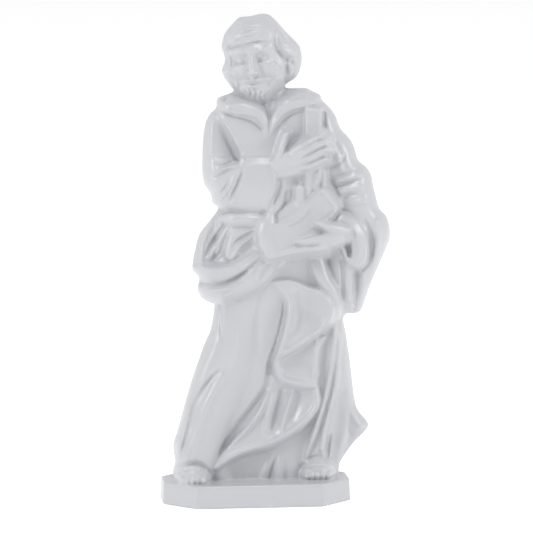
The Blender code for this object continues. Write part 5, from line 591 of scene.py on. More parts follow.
def tools(c):
    """The flat bar and handles held against the chest, and the box they rise from."""
    c.rod([(4.6, 65, 6.2, 2.0, 0.8), (6.6, 62, 6.4, 3.0, 0.8), (9.6, 60, 6.4, 3.4, 0.8),
           (12.4, 63, 6.0, 2.6, 0.8)], blend=0.8)
    # flat bar with bevelled edges
    c.panel([(10.0, 79.0), (13.2, 79.0), (13.2, 72), (10.0, 72)],
            [(10, 79, 5.6), (13, 79, 5.7), (11.6, 72, 7.0)], edge=0.5, blend=0.1, sharp=True)
    c.fold([(12.9, 79, 0.25, 0.35), (12.9, 72, 0.25, 0.35)])
    c.fold([(13.8, 78, -0.9, 0.5), (13.8, 73, -1.2, 0.5)])
    # below the hand
    c.rod([(10.6, 66.5, 7.6, 0.7, 0.5), (10.7, 60.6, 7.2, 0.7, 0.5)], blend=0.1)
    c.rod([(11.8, 66.6, 7.2, 0.5, 0.4), (11.7, 62.8, 6.9, 0.5, 0.4)], blend=0.15)
    c.rod([(12.8, 67.0, 7.5, 0.42, 0.4), (12.5, 64.8, 7.3, 0.42, 0.4), (12.2, 62.8, 7.0, 0.42, 0.4)],
          blend=0.1)
    c.rod([(13.6, 66.5, 6.7, 0.55, 0.5), (13.7, 63.4, 6.6, 0.55, 0.5)], blend=0.15)
    c.rod([(9.3, 66.0, 6.6, 0.6, 0.4), (9.4, 63.8, 6.9, 0.6, 0.4)], blend=0.3)
    c.rod([(8.9, 62.8, 7.9, 1.0, 1.1), (8.9, 59, 7.9, 1.0, 1.1)], blend=0.1)
    # box: its top, its front face with a soft upper edge, and the rounded corner by the sleeve
    c.panel([(4.2, 57.4), (5.2, 58.6), (6.4, 59.8), (7.4, 60.7), (10, 61.0), (12.6, 62.8), (12, 60),
             (8, 56), (4.4, 55.4)],
            [(4.6, 57.6, 7.3), (7.2, 60.2, 7.0), (10, 60.8, 7.2), (6.6, 56.9, 8.3), (9.4, 58.9, 8.2),
             (12.4, 62, 7.6)], edge=0.3, blend=0.15)
    c.panel([(1.6, 55.8), (3.8, 56.0), (5.2, 56.8), (6.6, 57.7), (7.8, 58.5), (9, 59.4), (10, 60.2),
             (11.4, 61.4), (12.4, 62.4), (13.4, 63.3), (14.7, 62.8), (15.8, 61.2), (16.7, 59.6),
             (15.8, 57.4), (14.6, 55.6), (10, 50.4), (3, 48.9), (1.5, 51.0)],
            [(3.8, 55, 8.5), (9.0, 57.8, 8.3), (13, 62.2, 7.7), (16, 59.4, 7.7), (4, 50, 9.0),
             (12, 52, 8.7)], edge=0.8, blend=0.3)
    c.fold([(4.6, 55.9, 0.05, 0.8), (6.6, 57.0, 0.1, 0.8), (9, 58.7, 0.15, 0.8), (11.4, 60.7, 0.2, 0.75),
            (13.2, 62.5, 0.3, 0.6)])
    c.fold([(13.2, 62.7, 0.35, 0.5), (14.3, 61.6, 0.45, 0.55), (15.1, 60.4, 0.45, 0.55),
            (16.1, 59.3, 0.3, 0.5)])
    c.fold([(14.6, 62.9, -0.2, 0.4), (15.6, 61.3, -0.3, 0.4), (16.4, 59.9, -0.2, 0.4)])
    c.rod([(3.2, 57.9, 7.8, 0.8, 0.8), (2.7, 56.4, 8.5, 1.6, 1.4), (2.3, 54.4, 8.9, 2.1, 1.9),
           (2.4, 52.2, 9.1, 2.1, 1.9), (3.2, 50.8, 9.0, 1.6, 1.4)], blend=0.7)
    c.fold([(4.4, 57.5, -0.3, 0.5), (4.4, 56.9, -0.45, 0.55), (4.4, 56.2, -0.3, 0.5)])
    c.fold([(7.3, 62.6, -0.2, 0.4), (7.3, 61, -0.4, 0.4), (6.7, 60.1, -0.4, 0.45),
            (5.9, 59.5, -0.3, 0.45), (5.1, 58.7, -0.3, 0.45), (4.6, 58.1, -0.25, 0.45)])
    c.fold([(0.0, 54.4, -0.2, 0.5), (0.3, 52.8, -0.5, 0.5), (0.5, 51.2, -0.6, 0.5),
            (1.2, 50.2, -0.3, 0.5)])


def near_hand(c):
    """The near hand flat against the chest."""
    # back of the hand, its lower edge and the thumb
    c.rod([(3.0, 66.4, 6.8, 1.7, 1.0), (5.0, 67.3, 7.8, 2.3, 1.2), (6.8, 68.1, 8.5, 2.5, 1.3),
           (8.2, 68.8, 8.7, 2.1, 1.2)], blend=0.3)
    c.rod([(4.6, 65.6, 7.2, 0.9, 0.8), (7.0, 66.0, 8.0, 0.9, 0.9), (9.2, 66.7, 8.3, 0.8, 0.8)],
          blend=0.4)
    c.rod([(4.6, 68.4, 7.8, 1.0, 1.0), (5.1, 70.2, 8.4, 0.75, 0.9), (5.6, 72.0, 8.4, 0.62, 0.8),
           (6.2, 73.8, 8.1, 0.5, 0.7)], blend=0.2)
    c.fold([(6.4, 71.4, -0.3, 0.4), (6.5, 70.5, -0.4, 0.4)])
    # three longer fingers with the same thickness, each as its joints' (across, up, crest)
    for joints in ([(7.6, 70.1, 8.8), (9.2, 71.2, 9.4), (10.9, 72.2, 9.5), (12.7, 73.2, 8.9)],
                   [(8.2, 69.2, 8.9), (10.4, 70.4, 9.6), (12.2, 71.4, 9.6), (13.9, 72.2, 8.9)],
                   [(8.6, 68.1, 8.8), (10.8, 68.9, 9.5), (12.6, 69.9, 9.5), (14.2, 70.7, 8.8)]):
        thickness = [(0.85, 0.9), (0.68, 0.9), (0.62, 0.9), (0.48, 0.7)]
        c.rod([joint + thick for joint, thick in zip(joints, thickness)], blend=0.06)
    # little finger
    c.rod([(8.8, 67.1, 8.5, 0.8, 0.8), (10.8, 67.3, 9.1, 0.64, 0.85), (12.3, 68.0, 9.1, 0.58, 0.85),
           (13.8, 68.8, 8.5, 0.46, 0.7)], blend=0.06)


def far_hand(c):
    """The far hand under the box: thumb over its edge, fingers along its bottom."""
    c.rod([(19.2, 53.6, 6.6, 1.8, 1.6), (17.4, 53.6, 8.0, 1.9, 1.6), (15.4, 53.2, 9.0, 1.9, 1.5),
           (13.2, 52.3, 9.3, 1.4, 1.3), (12.0, 51.8, 9.2, 1.1, 1.1)], blend=0.4)
    c.rod([(18.2, 54.2, 8.2, 1.0, 0.9), (16.2, 54.8, 9.2, 0.95, 0.9), (14.4, 55.3, 9.7, 0.8, 0.9),
           (13.1, 55.9, 9.8, 0.7, 0.9), (12.4, 56.0, 9.7, 0.62, 0.8)], blend=0.15)
    c.fold([(10.2, 53.8, -0.1, 0.3), (11.0, 54.3, -0.25, 0.32), (12.0, 54.9, -0.35, 0.35),
            (12.8, 54.6, -0.35, 0.32), (13.5, 54.4, -0.1, 0.3)])
    c.fold([(13.2, 54.1, -0.1, 0.6), (11.8, 53.8, -0.2, 0.6), (10.6, 53.4, -0.1, 0.5)])
    c.rod([(13.6, 52.8, 9.5, 0.9, 0.8), (11.4, 52.5, 10.0, 0.72, 0.8), (9.8, 52.2, 9.9, 0.64, 0.8),
           (8.5, 52.4, 9.5, 0.52, 0.6)], blend=0.08)
    c.rod([(13.6, 51.3, 9.2, 0.9, 0.9), (10.8, 50.9, 9.5, 0.7, 0.75), (7.6, 50.3, 9.5, 0.6, 0.65),
           (5.0, 49.6, 9.3, 0.52, 0.6), (2.9, 49.1, 8.8, 0.45, 0.5)], blend=0.15)
    c.fold([(7.4, 51.5, -0.1, 0.3), (8.8, 51.55, -0.25, 0.3), (10.8, 51.5, -0.25, 0.3),
            (12.6, 51.6, -0.1, 0.3)])
    c.fold([(17.4, 59.3, 0.5, 0.4), (16.4, 58.6, 0.65, 0.42), (15.3, 57.5, 0.6, 0.42),
            (14.2, 56.6, 0.3, 0.38)])
    c.fold([(17.1, 58.2, -0.2, 0.35), (16.6, 57.6, -0.45, 0.36), (16.1, 56.9, -0.5, 0.36),
            (15.6, 56.3, -0.3, 0.33)])
    c.fold([(15.4, 58.5, -0.15, 0.35), (14.6, 57.6, -0.2, 0.35), (13.9, 56.9, -0.15, 0.3)])


# the head's middle in the drawing, and the turn, nod and lean of the head in degrees
HEAD = np.array([0.5, 88.9, 0.4])
TURN = turned(-14, 8, 6)


def in_head(u, v, w):
    """The drawing's (across, up, out) of a place given as the head's own right, up and out."""
    return HEAD + TURN @ np.array([u, v, w], float)


def lump(c, side, at, radii, blend=0.4, turn=np.eye(3)):
    """A ball at a place in the head, with its radii to the head's right, up and out."""
    ball(c, in_head(*at), radii, TURN @ turn, blend, side)


def stroke(c, points, steep=0.0):
    """A fold whose points (right, up, out, height, half width) are the head's own."""
    line = []
    for u, v, w, height, width in points:
        a, h, _ = in_head(u, v, w)
        line.append((a, h, height, width))
    c.fold(line, steep=steep)


def head(c, side=1.0):
    """The neck and skull, and in front (side 1) the face and beard too."""
    lump(c, side, (0.3, -8, -1.5), (3.6, 5.0, 3.6))
    lump(c, side, (0.2, 1.3, -0.8), (5.6, 6.6, 6.0))
    if side < 0:
        return
    # face and the sides of the head
    lump(c, side, (0, -0.8, 0.7), (5.1, 6.6, 4.8), 0.6)
    for s in (-1, 1):
        lump(c, side, (s * 4.6, -1.6, -0.4), (1.9, 4.2, 3.2), 0.8)
    # beard, the cheeks, and the beard along the jaw
    lump(c, side, (0, -5.0, 2.2), (4.3, 3.0, 3.6), 0.9)
    lump(c, side, (0, -6.9, 2.3), (3.3, 1.9, 2.7), 0.9)
    for s in (-1, 1):
        lump(c, side, (s * 2.7, -1.6, 3.4), (2.0, 1.6, 1.4), 1.2)
        lump(c, side, (s * 3.7, -4.0, 1.9), (1.6, 2.8, 2.5), 0.9)
    # brow, sockets, eyes and lids
    lump(c, side, (0, 2.4, 4.1), (3.8, 1.2, 1.5), 0.5)
    for s in (-1, 1):
        u = s * 2.05
        stroke(c, [(u - 0.7, 0.6, 5, -0.85, 1.15), (u + 0.7, 0.6, 5, -0.85, 1.15)])
        lump(c, side, (s * 0.95, 0.5, 3.5), (0.5, 0.9, 0.8), 0.5)
        lump(c, side, (u, 0.4, 3.65), (1.1, 0.8, 1.0), 0.1)
        stroke(c, [(u - 1.15, 0.35, 5, 0.15, 0.24), (u - 0.5, 0.95, 5, 0.45, 0.3),
                   (u + 0.5, 0.95, 5, 0.45, 0.3), (u + 1.15, 0.35, 5, 0.15, 0.24)])
        stroke(c, [(u - 1.0, 0.1, 5, 0.1, 0.24), (u, -0.35, 5, 0.35, 0.28),
                   (u + 1.0, 0.1, 5, 0.1, 0.24)])
        stroke(c, [(u - 1.4, 1.7, 5, 0.1, 0.4), (u, 2.1, 5, 0.4, 0.45), (u + 1.4, 1.7, 5, 0.1, 0.4)])
    # nose, nostrils and the line from each to the mouth's corner
    lump(c, side, (0, -0.1, 5.2), (0.75, 2.8, 1.6), 0.4, turned(0, -20, 0))
    lump(c, side, (0, -1.9, 6.1), (0.75, 0.8, 1.1), 0.5)
    for s in (-1, 1):
        lump(c, side, (s * 0.75, -2.1, 5.4), (0.55, 0.55, 0.9), 0.4)
        stroke(c, [(s * 1.3, 0.0, 5, -0.05, 0.5), (s * 1.4, -1.2, 5, -0.2, 0.6),
                   (s * 1.7, -2.4, 5, -0.15, 0.5)])
    # moustache, lips and the strands of the beard
    for s in (-1, 1):
        stroke(c, [(s * 0.15, -3.3, 6, 0.4, 0.5), (s * 1.3, -3.4, 5.6, 0.7, 0.65),
                   (s * 2.5, -3.6, 5, 0.6, 0.6), (s * 3.4, -4.0, 4.5, 0.1, 0.4)])
    stroke(c, [(-1.3, -4.0, 5.6, -0.1, 0.3), (0, -4.15, 6, -0.3, 0.3), (1.3, -4.0, 5.6, -0.1, 0.3)])
    stroke(c, [(-0.9, -4.65, 5.6, 0.15, 0.3), (0, -4.75, 6, 0.4, 0.36), (0.9, -4.65, 5.6, 0.15, 0.3)])
    stroke(c, [(-0.9, -5.3, 5.6, -0.1, 0.35), (0, -5.35, 6, -0.4, 0.4), (0.9, -5.3, 5.6, -0.1, 0.35)])
    for k in range(9):
        u = -4.4 + 1.1 * k
        v = -5.5 + 0.13 * u**2
        stroke(c, [(u, v, 4, 0.0, 0.3), (0.95 * u + 0.25, v - 0.9, 4, 0.6, 0.42),
                   (0.85 * u - 0.15, v - 1.9, 4, 0.6, 0.42), (0.72 * u + 0.1, v - 2.9, 4, 0.2, 0.34)])
    for s in (-1, 1):
        for k in range(2):
            u, v = s * (5.0 - 0.7 * k), -0.2 - 0.5 * k
            stroke(c, [(u, v, 2.6, 0.05, 0.3), (u, v - 1.1, 3, 0.28, 0.36),
                       (u - s * 0.2, v - 2.3, 3.4, 0.05, 0.3)])


def hair(c, side=1.0):
    """The crown, then the plain back of the hair or, in front (side 1), its locks and curls."""
    lump(c, side, (0.3, 3.2, -1.2), (6.0, 6.0, 6.1))
    if side < 0:
        lump(c, side, (0.4, -1.5, -2.6), (6.0, 5.4, 4.6), 0.8)
        return
    # fringe swept across the brow, the flat temple lock, and the thick curls beyond the parting
    c.rod([(-5.6, 91.9, 2.8, 0.9, 0.9), (-4.2, 92.6, 4.1, 1.3, 1.0), (-1.8, 93.1, 4.8, 1.5, 1.0),
           (1.0, 93.4, 5.0, 1.5, 1.0), (3.2, 93.6, 4.7, 1.4, 1.0)], blend=1.2)
    c.rod([(-5.9, 92.6, 2.4, 0.9, 0.9), (-6.0, 90.4, 2.6, 0.9, 0.9), (-5.7, 88.4, 2.6, 0.9, 0.9),
           (-5.7, 86.4, 2.8, 1.0, 0.9), (-5.1, 84.4, 3.0, 0.9, 0.9), (-4.4, 82.9, 3.2, 0.7, 0.8)],
          blend=1.1)
    c.fold([(-5.0, 90.8, 0.1, 0.5), (-5.0, 88.6, 0.35, 0.6), (-4.9, 86.4, 0.35, 0.6),
            (-4.3, 84.2, 0.1, 0.5)])
    c.fold([(-4.7, 90.4, 0.1, 0.5), (-4.6, 88.6, 0.35, 0.8), (-4.6, 87.2, 0.3, 0.8),
            (-4.5, 85.6, 0.1, 0.5)])
    c.rod([(4.0, 96.4, 3.2, 1.0, 1.0), (4.7, 94.4, 3.9, 1.3, 1.2), (5.0, 92.2, 4.3, 1.5, 1.3),
           (6.0, 90.6, 4.3, 1.5, 1.3), (7.0, 89.8, 4.0, 1.3, 1.2)], blend=0.3)
    c.rod([(6.2, 93.6, 2.8, 1.0, 1.0), (7.6, 92.0, 3.0, 1.2, 1.1), (8.2, 90.2, 3.0, 1.2, 1.1),
           (8.4, 88.0, 2.8, 1.2, 1.0), (8.0, 86.2, 2.6, 1.2, 1.0), (6.9, 85.0, 2.4, 1.1, 1.0)],
          blend=0.4)
    # ear
    c.rod([(6.5, 88.2, 3.2, 0.5, 0.5), (7.1, 87.0, 3.4, 0.5, 0.5), (6.8, 85.8, 3.3, 0.45, 0.5),
           (6.2, 85.1, 3.1, 0.4, 0.4)], blend=0.15)
    c.fold([(6.2, 87.5, -0.4, 0.4), (6.3, 86.4, -0.4, 0.4)])
    c.fold([(5.9, 88.6, -0.15, 0.4), (6.8, 89.0, -0.5, 0.5), (8.2, 89.1, -0.45, 0.45)])
    c.fold([(6.2, 91.0, -0.25, 0.5), (6.9, 90.5, -0.35, 0.5)])
    # strands
    c.fold([(3.7, 94.4, -0.3, 0.4), (3.8, 92.8, -0.7, 0.4), (4.0, 91.2, -0.7, 0.4),
            (5.2, 89.4, -0.6, 0.4), (5.8, 88.5, -0.4, 0.4)], steep=0.5)
    c.fold([(-4.9, 91.5, -0.15, 0.35), (-2.6, 91.5, -0.4, 0.35), (-1.0, 91.9, -0.6, 0.4),
            (0.2, 92.2, -0.6, 0.4), (3.2, 92.1, -0.35, 0.35)], steep=0.4)
    for k in range(3):
        c.fold([(-5.2 + 0.3 * k, 92.4 + 0.7 * k, 0.05, 0.28),
                (-3.2 + 0.3 * k, 92.9 + 0.75 * k, 0.3, 0.32), (0.2, 93.2 + 0.8 * k, 0.25, 0.32),
                (3.0, 93.1 + 0.9 * k, 0.1, 0.3)])
    for k in range(5):
        drop = 0.75 * k
        c.fold([(3.4, 95.9 - 0.4 * drop, 0.1, 0.35), (0.6 - 0.1 * drop, 97.3 - drop, 0.3, 0.4),
                (-2.6, 96.8 - 1.1 * drop, 0.35, 0.4), (-4.8 - 0.15 * drop, 94.8 - drop, 0.25, 0.35),
                (-6.0, 93.0 - 0.5 * drop, 0.05, 0.3)])
    for k in range(5):
        c.fold([(3.6 + 0.5 * k, 96.4 - 0.7 * k, 0.05, 0.28),
                (4.6 + 0.6 * k, 94.4 - 0.55 * k, 0.45, 0.34),
                (5.2 + 0.75 * k, 92.0 - 0.4 * k, 0.45, 0.34),
                (6.4 + 0.6 * k, 89.8 - 0.3 * k, 0.1, 0.28)])
    for k in range(3):
        c.fold([(8.6 - 0.5 * k, 89.4, 0.05, 0.25), (8.8 - 0.5 * k, 87.6, 0.3, 0.3),
                (8.2 - 0.5 * k, 85.8, 0.25, 0.3)])
    for k in range(4):
        v = 90.6 - 1.9 * k
        c.fold([(-6.3, v, 0.1, 0.35), (-5.8, v - 0.8, 0.35, 0.4), (-5.2, v - 1.5, 0.1, 0.35)])


# how far inside the outline the surface starts to round down, and half the parting line's thickness
EDGE_REACH = 2.6
PARTING = 0.2


def edge_fall(c):
    """Both halves of the mould meet along the outline, where the surface rounds down to the parting
    line."""
    ring = outline()
    ring = np.vstack([ring, ring[:1]])
    s = beside(ring, c.a, c.h)[0]
    x = np.clip(1 - s / EDGE_REACH, 0, 1)
    c.out = PARTING + (c.out - PARTING) * np.sqrt(1 - x**2)
    return c.out


def front(a, h):
    """The depth of the figure's front at each point of the drawing."""
    c = Clay(a, h)
    for form in (masses, skirt, feet, bundle, cascade, far_side, waist, chest, near_arm, head, hair,
                 collar, tools, near_hand, far_hand):
        form(c)
    return edge_fall(c)


def back(a, h):
    """The plainer back: the cloak hanging from the shoulders in long folds to the base."""
    c = Clay(a, h)
    c.rod([(2.5, 80, 4.6, 8, 2.5), (3.2, 75, 5.0, 11, 3.0), (4.8, 66, 5.4, 14, 3.4),
           (6.4, 56, 5.8, 17, 3.4), (6.4, 48, 5.8, 17, 3.4), (4.0, 38, 5.6, 13, 3.4),
           (3.0, 26, 5.8, 14, 3.4), (2, 16, 6.0, 16, 3.0), (1, 6, 6.4, 17, 3.0),
           (0.6, -2, 6.4, 17, 3.0)], blend=1.0)
    c.rod([(12, 79, 3.6, 3.6, 2.2), (16, 72, 4.4, 5.0, 3), (20, 63, 5.0, 5.4, 3),
           (22.4, 55, 5.0, 5.0, 3), (22, 47, 4.4, 4, 2.4), (20.4, 40, 3.4, 3, 2)], blend=1.0)
    c.rod([(-5.5, 79, 3.4, 3.0, 2), (-7.6, 74, 4.4, 3.6, 2.4), (-7.8, 66, 5.0, 4.0, 2.6),
           (-7.6, 60, 4.8, 3.6, 2.4)], blend=1.0)
    for k in range(5):
        top, foot = -5.5 + 5.2 * k, -11.5 + 6.2 * k
        middle = 0.5 * (top + foot)
        c.fold([(2 + 0.6 * top, 73 - 2.5 * abs(k - 2), 0.0, 0.9), (top, 56, 0.5, 1.4),
                (middle, 38, 0.8, 1.7), (foot, 20, 1.0, 2.0), (foot - 0.4, 5, 1.0, 2.2)])
        c.fold([(3.0 + 0.7 * top, 67 - 2 * (k % 2), 0.0, 0.8), (top + 2.6, 50, -0.4, 1.1),
                (middle + 3.0, 34, -0.7, 1.3), (foot + 3.2, 18, -0.9, 1.5), (foot + 3.0, 5, -0.9, 1.6)])
    # sweeps from the far shoulder, and the sleeves' creases
    for k in range(3):
        c.fold([(13.5 + 1.2 * k, 75 - 2.5 * k, 0.0, 0.9), (17.6 + 0.7 * k, 66 - 3 * k, 0.45, 1.2),
                (19.4 + 0.5 * k, 56 - 3 * k, 0.55, 1.2), (19.0 + 0.6 * k, 45 - k, 0.1, 1.0)])
        c.fold([(-9.6, 70 - 3.4 * k, -0.1, 0.7), (-7.6, 69.2 - 3.4 * k, -0.4, 0.8),
                (-5.0, 69.6 - 3.2 * k, -0.05, 0.7)])
    head(c, -1.0)
    hair(c, -1.0)
    for k in range(9):
        u = -5.2 + 1.3 * k
        c.fold([(0.9 + 0.25 * u, 96.2, 0.0, 0.4), (0.9 + 0.8 * u, 92, 0.4, 0.5),
                (0.9 + u + 0.3 * (-1) ** k, 87, 0.45, 0.55), (0.9 + 0.85 * u, 83.6, 0.2, 0.5)])
    c.rod([(-7.0, 80.2, 3.2, 1.2, 1.1), (-3.2, 80.5, 5.4, 1.5, 1.2), (2.6, 80.7, 6.4, 1.7, 1.3),
           (8, 81.0, 5.6, 1.5, 1.2), (12.2, 81.0, 3.6, 1.2, 1.1)], blend=0.3)
    c.fold([(-6.6, 78.6, -0.1, 0.6), (-3, 78.7, -0.35, 0.6), (2.6, 78.7, -0.35, 0.6),
            (8, 79.1, -0.35, 0.6), (12.4, 79.4, -0.1, 0.6)])
    return edge_fall(c)


# the camera's distance from the figure's middle, and its turn and dip in degrees
SIGHT_DISTANCE = 1000.0
SIGHT_TURN = 6.4
SIGHT_DIP = 8.6
YAW, DIP = radians(SIGHT_TURN), radians(SIGHT_DIP)
# the direction in which it looks
AHEAD = (sin(YAW) * cos(DIP), cos(YAW) * cos(DIP), -sin(DIP))
# the figure's middle in the drawing
MIDDLE_ACROSS = 2.3
MIDDLE_UP = 47.3


def stand_up(drawn):
    """Where each drawn point (across, up, out) stands in the figure, in the line of sight through it."""
    ahead = np.array(AHEAD)
    right = np.array([cos(YAW), -sin(YAW), 0.0])
    over = np.cross(right, ahead)
    eye = np.array([MIDDLE_ACROSS, 0.0, MIDDLE_UP]) - SIGHT_DISTANCE * ahead
    ray = (SIGHT_DISTANCE * ahead + (drawn[:, :1] - MIDDLE_ACROSS * cos(YAW)) * right
           + (drawn[:, 1:2] - MIDDLE_UP) * over)
    reach = (-drawn[:, 2] - eye[1]) / ray[:, 1]
    return eye + reach[:, None] * ray


# half the slab's thickness, and the outer layer of it that is carved as one with its face
HALF_SLAB = 4.0
SLAB_SKIN = 0.4


def as_mesh(bm, name):
    """The worked shape as a mesh of this name."""
    mesh = bpy.data.meshes.new(name)
    bm.to_mesh(mesh)
    bm.free()
    return mesh


def placed(name, data):
    """A new object in the scene."""
    thing = bpy.data.objects.new(name, data)
    bpy.context.scene.collection.objects.link(thing)
    return thing


def slab():
    """The outline of the drawing as an even slab, finely divided."""
    bm = bmesh.new()
    corners = [bm.verts.new((a, HALF_SLAB, h)) for a, h in outline()[:, :2]]
    rim = [bm.edges.new(pair) for pair in zip(corners, corners[1:] + corners[:1])]
    filled = bmesh.ops.triangle_fill(bm, edges=rim, use_beauty=True)
    faces = [item for item in filled["geom"] if isinstance(item, bmesh.types.BMFace)]
    grown = bmesh.ops.extrude_face_region(bm, geom=faces)
    lifted = [item for item in grown["geom"] if isinstance(item, bmesh.types.BMVert)]
    bmesh.ops.translate(bm, verts=lifted, vec=(0, -2 * HALF_SLAB, 0))
    bmesh.ops.recalc_face_normals(bm, faces=bm.faces)
    return as_mesh(bm, "drawing")


def shaped(mesh, *modifiers):
    """The mesh after these modifiers."""
    piece = placed("shaping", mesh)
    for kind, settings in modifiers:
        modifier = piece.modifiers.new(kind, kind)
        for name, value in settings.items():
            setattr(modifier, name, value)
    graph = bpy.context.evaluated_depsgraph_get()
    result = bpy.data.meshes.new_from_object(piece.evaluated_get(graph))
    bpy.data.objects.remove(piece)
    return result


def points_of(mesh):
    """The mesh's points as rows of x, y and z."""
    flat = np.empty(3 * len(mesh.vertices), np.float32)
    mesh.vertices.foreach_get("co", flat)
    return flat.reshape(-1, 3).astype(float)


def move_points(mesh, points):
    """Puts the mesh's points at these places."""
    mesh.vertices.foreach_set("co", points.astype(np.float32).ravel())
    mesh.update()


# the figure's height above the base, its height as drawn, and the level of its floor in the drawing
FIGURE_HEIGHT = 93.5
DRAWN_HEIGHT = 93.5
DRAWN_FLOOR = 4.56
# how deep the feet are sunk into the base, and the base's own sizes
BURIED = 2.7
BASE_WIDTH = 37.9
BASE_DEPTH = 19.1
BASE_THICKNESS = 4.56
BASE_CORNER = 6.2
BASE_LEAN = 0.24
# how far the base's edges are rounded, and in how many steps
BASE_SOFTENING = 0.35
SOFTENING_STEPS = 4
# the size of the cells that the slab is divided in before it is carved, and then the whole moulding
DRAWN_STEP = 0.2
CARVED_STEP = 0.2
# how far each point is drawn to the middle of its neighbours, and the most faces that are kept
EVENING = 0.35
MOST_FACES = 190000


def seated(standing):
    """The standing figure at its own height, on the base's top and a little way into it."""
    seat = (standing - (0, 0, DRAWN_FLOOR)) * FIGURE_HEIGHT / DRAWN_HEIGHT + (0, 0, BASE_THICKNESS)
    seat[:, 2] = np.maximum(seat[:, 2], BASE_THICKNESS - BURIED)
    return seat


def slab_figure():
    """The slab swelled out to the carved front and back, then stood up from the drawing."""
    mesh = shaped(slab(), ("REMESH", {"mode": "VOXEL", "voxel_size": DRAWN_STEP}))
    drawn = points_of(mesh)
    share = np.clip(-drawn[:, 1] / (HALF_SLAB - SLAB_SKIN), -1, 1)
    depth = np.where(share > 0, front(drawn[:, 0], drawn[:, 2]), back(drawn[:, 0], drawn[:, 2]))
    move_points(mesh, seated(stand_up(np.column_stack([drawn[:, 0], drawn[:, 2], share * depth]))))
    return mesh


def bevelled(bm, edges, width, steps):
    """Cuts these edges back by this width, in this many flat steps."""
    bmesh.ops.bevel(bm, geom=edges, offset=width, offset_type="OFFSET", segments=steps, profile=0.5,
                    affect="EDGES", clamp_overlap=False, material=-1)


def rounded_base():
    """The low base: a rectangle with its corners cut off, its sides leaning in and its edges
    softened."""
    bm = bmesh.new()
    bmesh.ops.create_cube(bm, size=1.0)
    bmesh.ops.scale(bm, verts=bm.verts, vec=(BASE_WIDTH, BASE_DEPTH, BASE_THICKNESS))
    uprights = [e for e in bm.edges if abs(e.verts[0].co.z - e.verts[1].co.z) > 0.5 * BASE_THICKNESS]
    bevelled(bm, uprights, BASE_CORNER, 1)
    for v in bm.verts:
        if v.co.z > 0:
            v.co.x -= BASE_LEAN * (1 if v.co.x > 0 else -1)
            v.co.y -= BASE_LEAN * (1 if v.co.y > 0 else -1)
        v.co.z += 0.5 * BASE_THICKNESS
    bevelled(bm, list(bm.edges), BASE_SOFTENING, SOFTENING_STEPS)
    return as_mesh(bm, "base")


def one_skin(mesh):
    """The mesh without the crumbs that the remeshing leaves apart from it."""
    bm = bmesh.new()
    bm.from_mesh(mesh)
    left = set(bm.verts)
    skins = []
    while left:
        skin = [left.pop()]
        for v in skin:
            reached = [e.other_vert(v) for e in v.link_edges if e.other_vert(v) in left]
            left.difference_update(reached)
            skin += reached
        skins.append(skin)
    skins.sort(key=len)
    bmesh.ops.delete(bm, geom=[v for crumb in skins[:-1] for v in crumb], context="VERTS")
    bm.to_mesh(mesh)
    bm.free()
    return mesh


def moulded():
    """The figure and its base in one closed skin, evened and brought to a fair number of faces."""
    bm = bmesh.new()
    bm.from_mesh(slab_figure())
    bm.from_mesh(rounded_base())
    mesh = shaped(as_mesh(bm, "both"), ("REMESH", {"mode": "VOXEL", "voxel_size": CARVED_STEP}))
    mesh = shaped(mesh, ("SMOOTH", {"factor": EVENING, "iterations": 1}), ("TRIANGULATE", {}),
                  ("DECIMATE", {"ratio": min(1.0, MOST_FACES / (2.0 * len(mesh.polygons)))}))
    return one_skin(mesh)


# the moulding in metres, nowhere beyond the box that the solid fills
MILLIMETRE = 0.001
statue_mesh = moulded()
points = points_of(statue_mesh) * MILLIMETRE
move_points(statue_mesh, np.clip(points, np.array(solid_low), np.array(solid_high)))
statue_mesh.shade_smooth()
statue = placed("moulded_statue", statue_mesh)

# The plastic is an opaque cool white with a soft gloss, and the mould has left its surface very
# slightly uneven.
PLASTIC_COLOUR = (0.485, 0.489, 0.515, 1.0)
PLASTIC_ROUGHNESS = 0.28
PLASTIC_INDEX = 1.5
RIPPLES_PER_METRE = 420.0
RIPPLE_DETAIL = 2.0
RIPPLE_STRENGTH = 0.12
RIPPLE_HEIGHT = 0.0002
plastic = bpy.data.materials.new("white_plastic")
plastic.use_nodes = True
nodes, links = plastic.node_tree.nodes, plastic.node_tree.links
shader = nodes["Principled BSDF"]
shader.inputs["Base Color"].default_value = PLASTIC_COLOUR
shader.inputs["Roughness"].default_value = PLASTIC_ROUGHNESS
shader.inputs["IOR"].default_value = PLASTIC_INDEX
place = nodes.new("ShaderNodeTexCoord")
ripple = nodes.new("ShaderNodeTexNoise")
ripple.inputs["Scale"].default_value = RIPPLES_PER_METRE
ripple.inputs["Detail"].default_value = RIPPLE_DETAIL
links.new(place.outputs["Object"], ripple.inputs["Vector"])
bump = nodes.new("ShaderNodeBump")
bump.inputs["Strength"].default_value = RIPPLE_STRENGTH
bump.inputs["Distance"].default_value = RIPPLE_HEIGHT
links.new(ripple.outputs["Fac"], bump.inputs["Height"])
links.new(bump.outputs["Normal"], shader.inputs["Normal"])
statue_mesh.materials.clear()
statue_mesh.materials.append(plastic)
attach(statue, "root")
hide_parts("saint_joseph_statue")

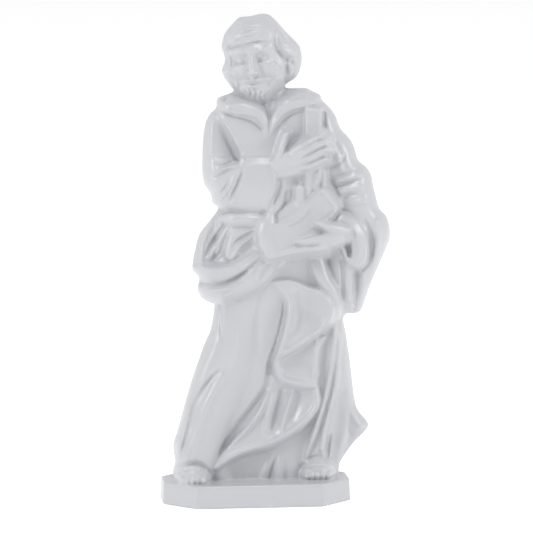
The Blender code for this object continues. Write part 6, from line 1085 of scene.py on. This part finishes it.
# The floor is a plain sheet of matt white paper that the figure stands on, far wider than the picture.
# It shines a little by itself, as paper does in a bright room.
FLOOR_SIZE = 3.0
WHITE = (1.0, 1.0, 1.0, 1.0)
PAPER_ROUGHNESS = 0.9
PAPER_GLOW = 0.25
bm = bmesh.new()
bmesh.ops.create_grid(bm, x_segments=1, y_segments=1, size=FLOOR_SIZE)
floor = placed("floor", as_mesh(bm, "floor"))
paper = bpy.data.materials.new("paper")
paper.use_nodes = True
sheet = paper.node_tree.nodes["Principled BSDF"]
sheet.inputs["Base Color"].default_value = WHITE
sheet.inputs["Roughness"].default_value = PAPER_ROUGHNESS
sheet.inputs["Emission Color"].default_value = WHITE
sheet.inputs["Emission Strength"].default_value = PAPER_GLOW
floor.data.materials.append(paper)

# Two big soft boxes stand at the sides and a third hangs above, all turned to the figure's middle.
MIDDLE = Vector((MIDDLE_ACROSS * MILLIMETRE, 0.0, MIDDLE_UP * MILLIMETRE))
BOX_SIDE = 0.3


def soft_box(name, place, power):
    """A square lamp at this place in metres, with its power in watts."""
    light = bpy.data.lights.new(name, "AREA")
    light.shape = "SQUARE"
    light.size = BOX_SIDE
    light.energy = power
    lamp = placed(name, light)
    lamp.location = place
    lamp.rotation_euler = (MIDDLE - Vector(place)).to_track_quat("-Z", "Y").to_euler()


soft_box("left box", (-0.75, -0.4, 0.35), 2.6)
soft_box("right box", (0.75, -0.3, 0.3), 2.2)
soft_box("top box", (0.0, -0.4, 0.85), 2.6)

# The room is white all round, and dimmer on the camera's side. Its light grows evenly with how far back
# a direction points, from straight behind the camera (-1) to a little past sideways.
ROOM_LIGHT = {"From Min": -1.0, "From Max": 0.4, "To Min": 0.27, "To Max": 0.85}
world = bpy.data.worlds.new("studio")
world.use_nodes = True
nodes, links = world.node_tree.nodes, world.node_tree.links
direction = nodes.new("ShaderNodeTexCoord")
parts = nodes.new("ShaderNodeSeparateXYZ")
dimmer = nodes.new("ShaderNodeMapRange")
for name, value in ROOM_LIGHT.items():
    dimmer.inputs[name].default_value = value
links.new(direction.outputs["Generated"], parts.inputs["Vector"])
links.new(parts.outputs["Y"], dimmer.inputs["Value"])
links.new(dimmer.outputs["Result"], nodes["Background"].inputs["Strength"])
nodes["Background"].inputs["Color"].default_value = WHITE
bpy.context.scene.world = world
bpy.context.scene.view_settings.view_transform = "Standard"

# The camera looks from a metre away, a little from the figure's right hand and a little from above.
# The sensor's width is in millimetres; what the picture spans at the figure's middle, and the nearest
# distance that it shows, are in metres.
SENSOR = 36.0
FRAME_ACROSS = 0.1066
NEAREST = 0.05
camera_data = bpy.data.cameras.new("camera")
camera_data.sensor_width = SENSOR
camera_data.lens = SENSOR * MILLIMETRE * SIGHT_DISTANCE / FRAME_ACROSS
camera_data.clip_start = NEAREST
camera = placed("camera", camera_data)
camera.location = MIDDLE - MILLIMETRE * SIGHT_DISTANCE * Vector(AHEAD)
camera.rotation_euler = Vector(AHEAD).to_track_quat("-Z", "Y").to_euler()
bpy.context.scene.camera = camera
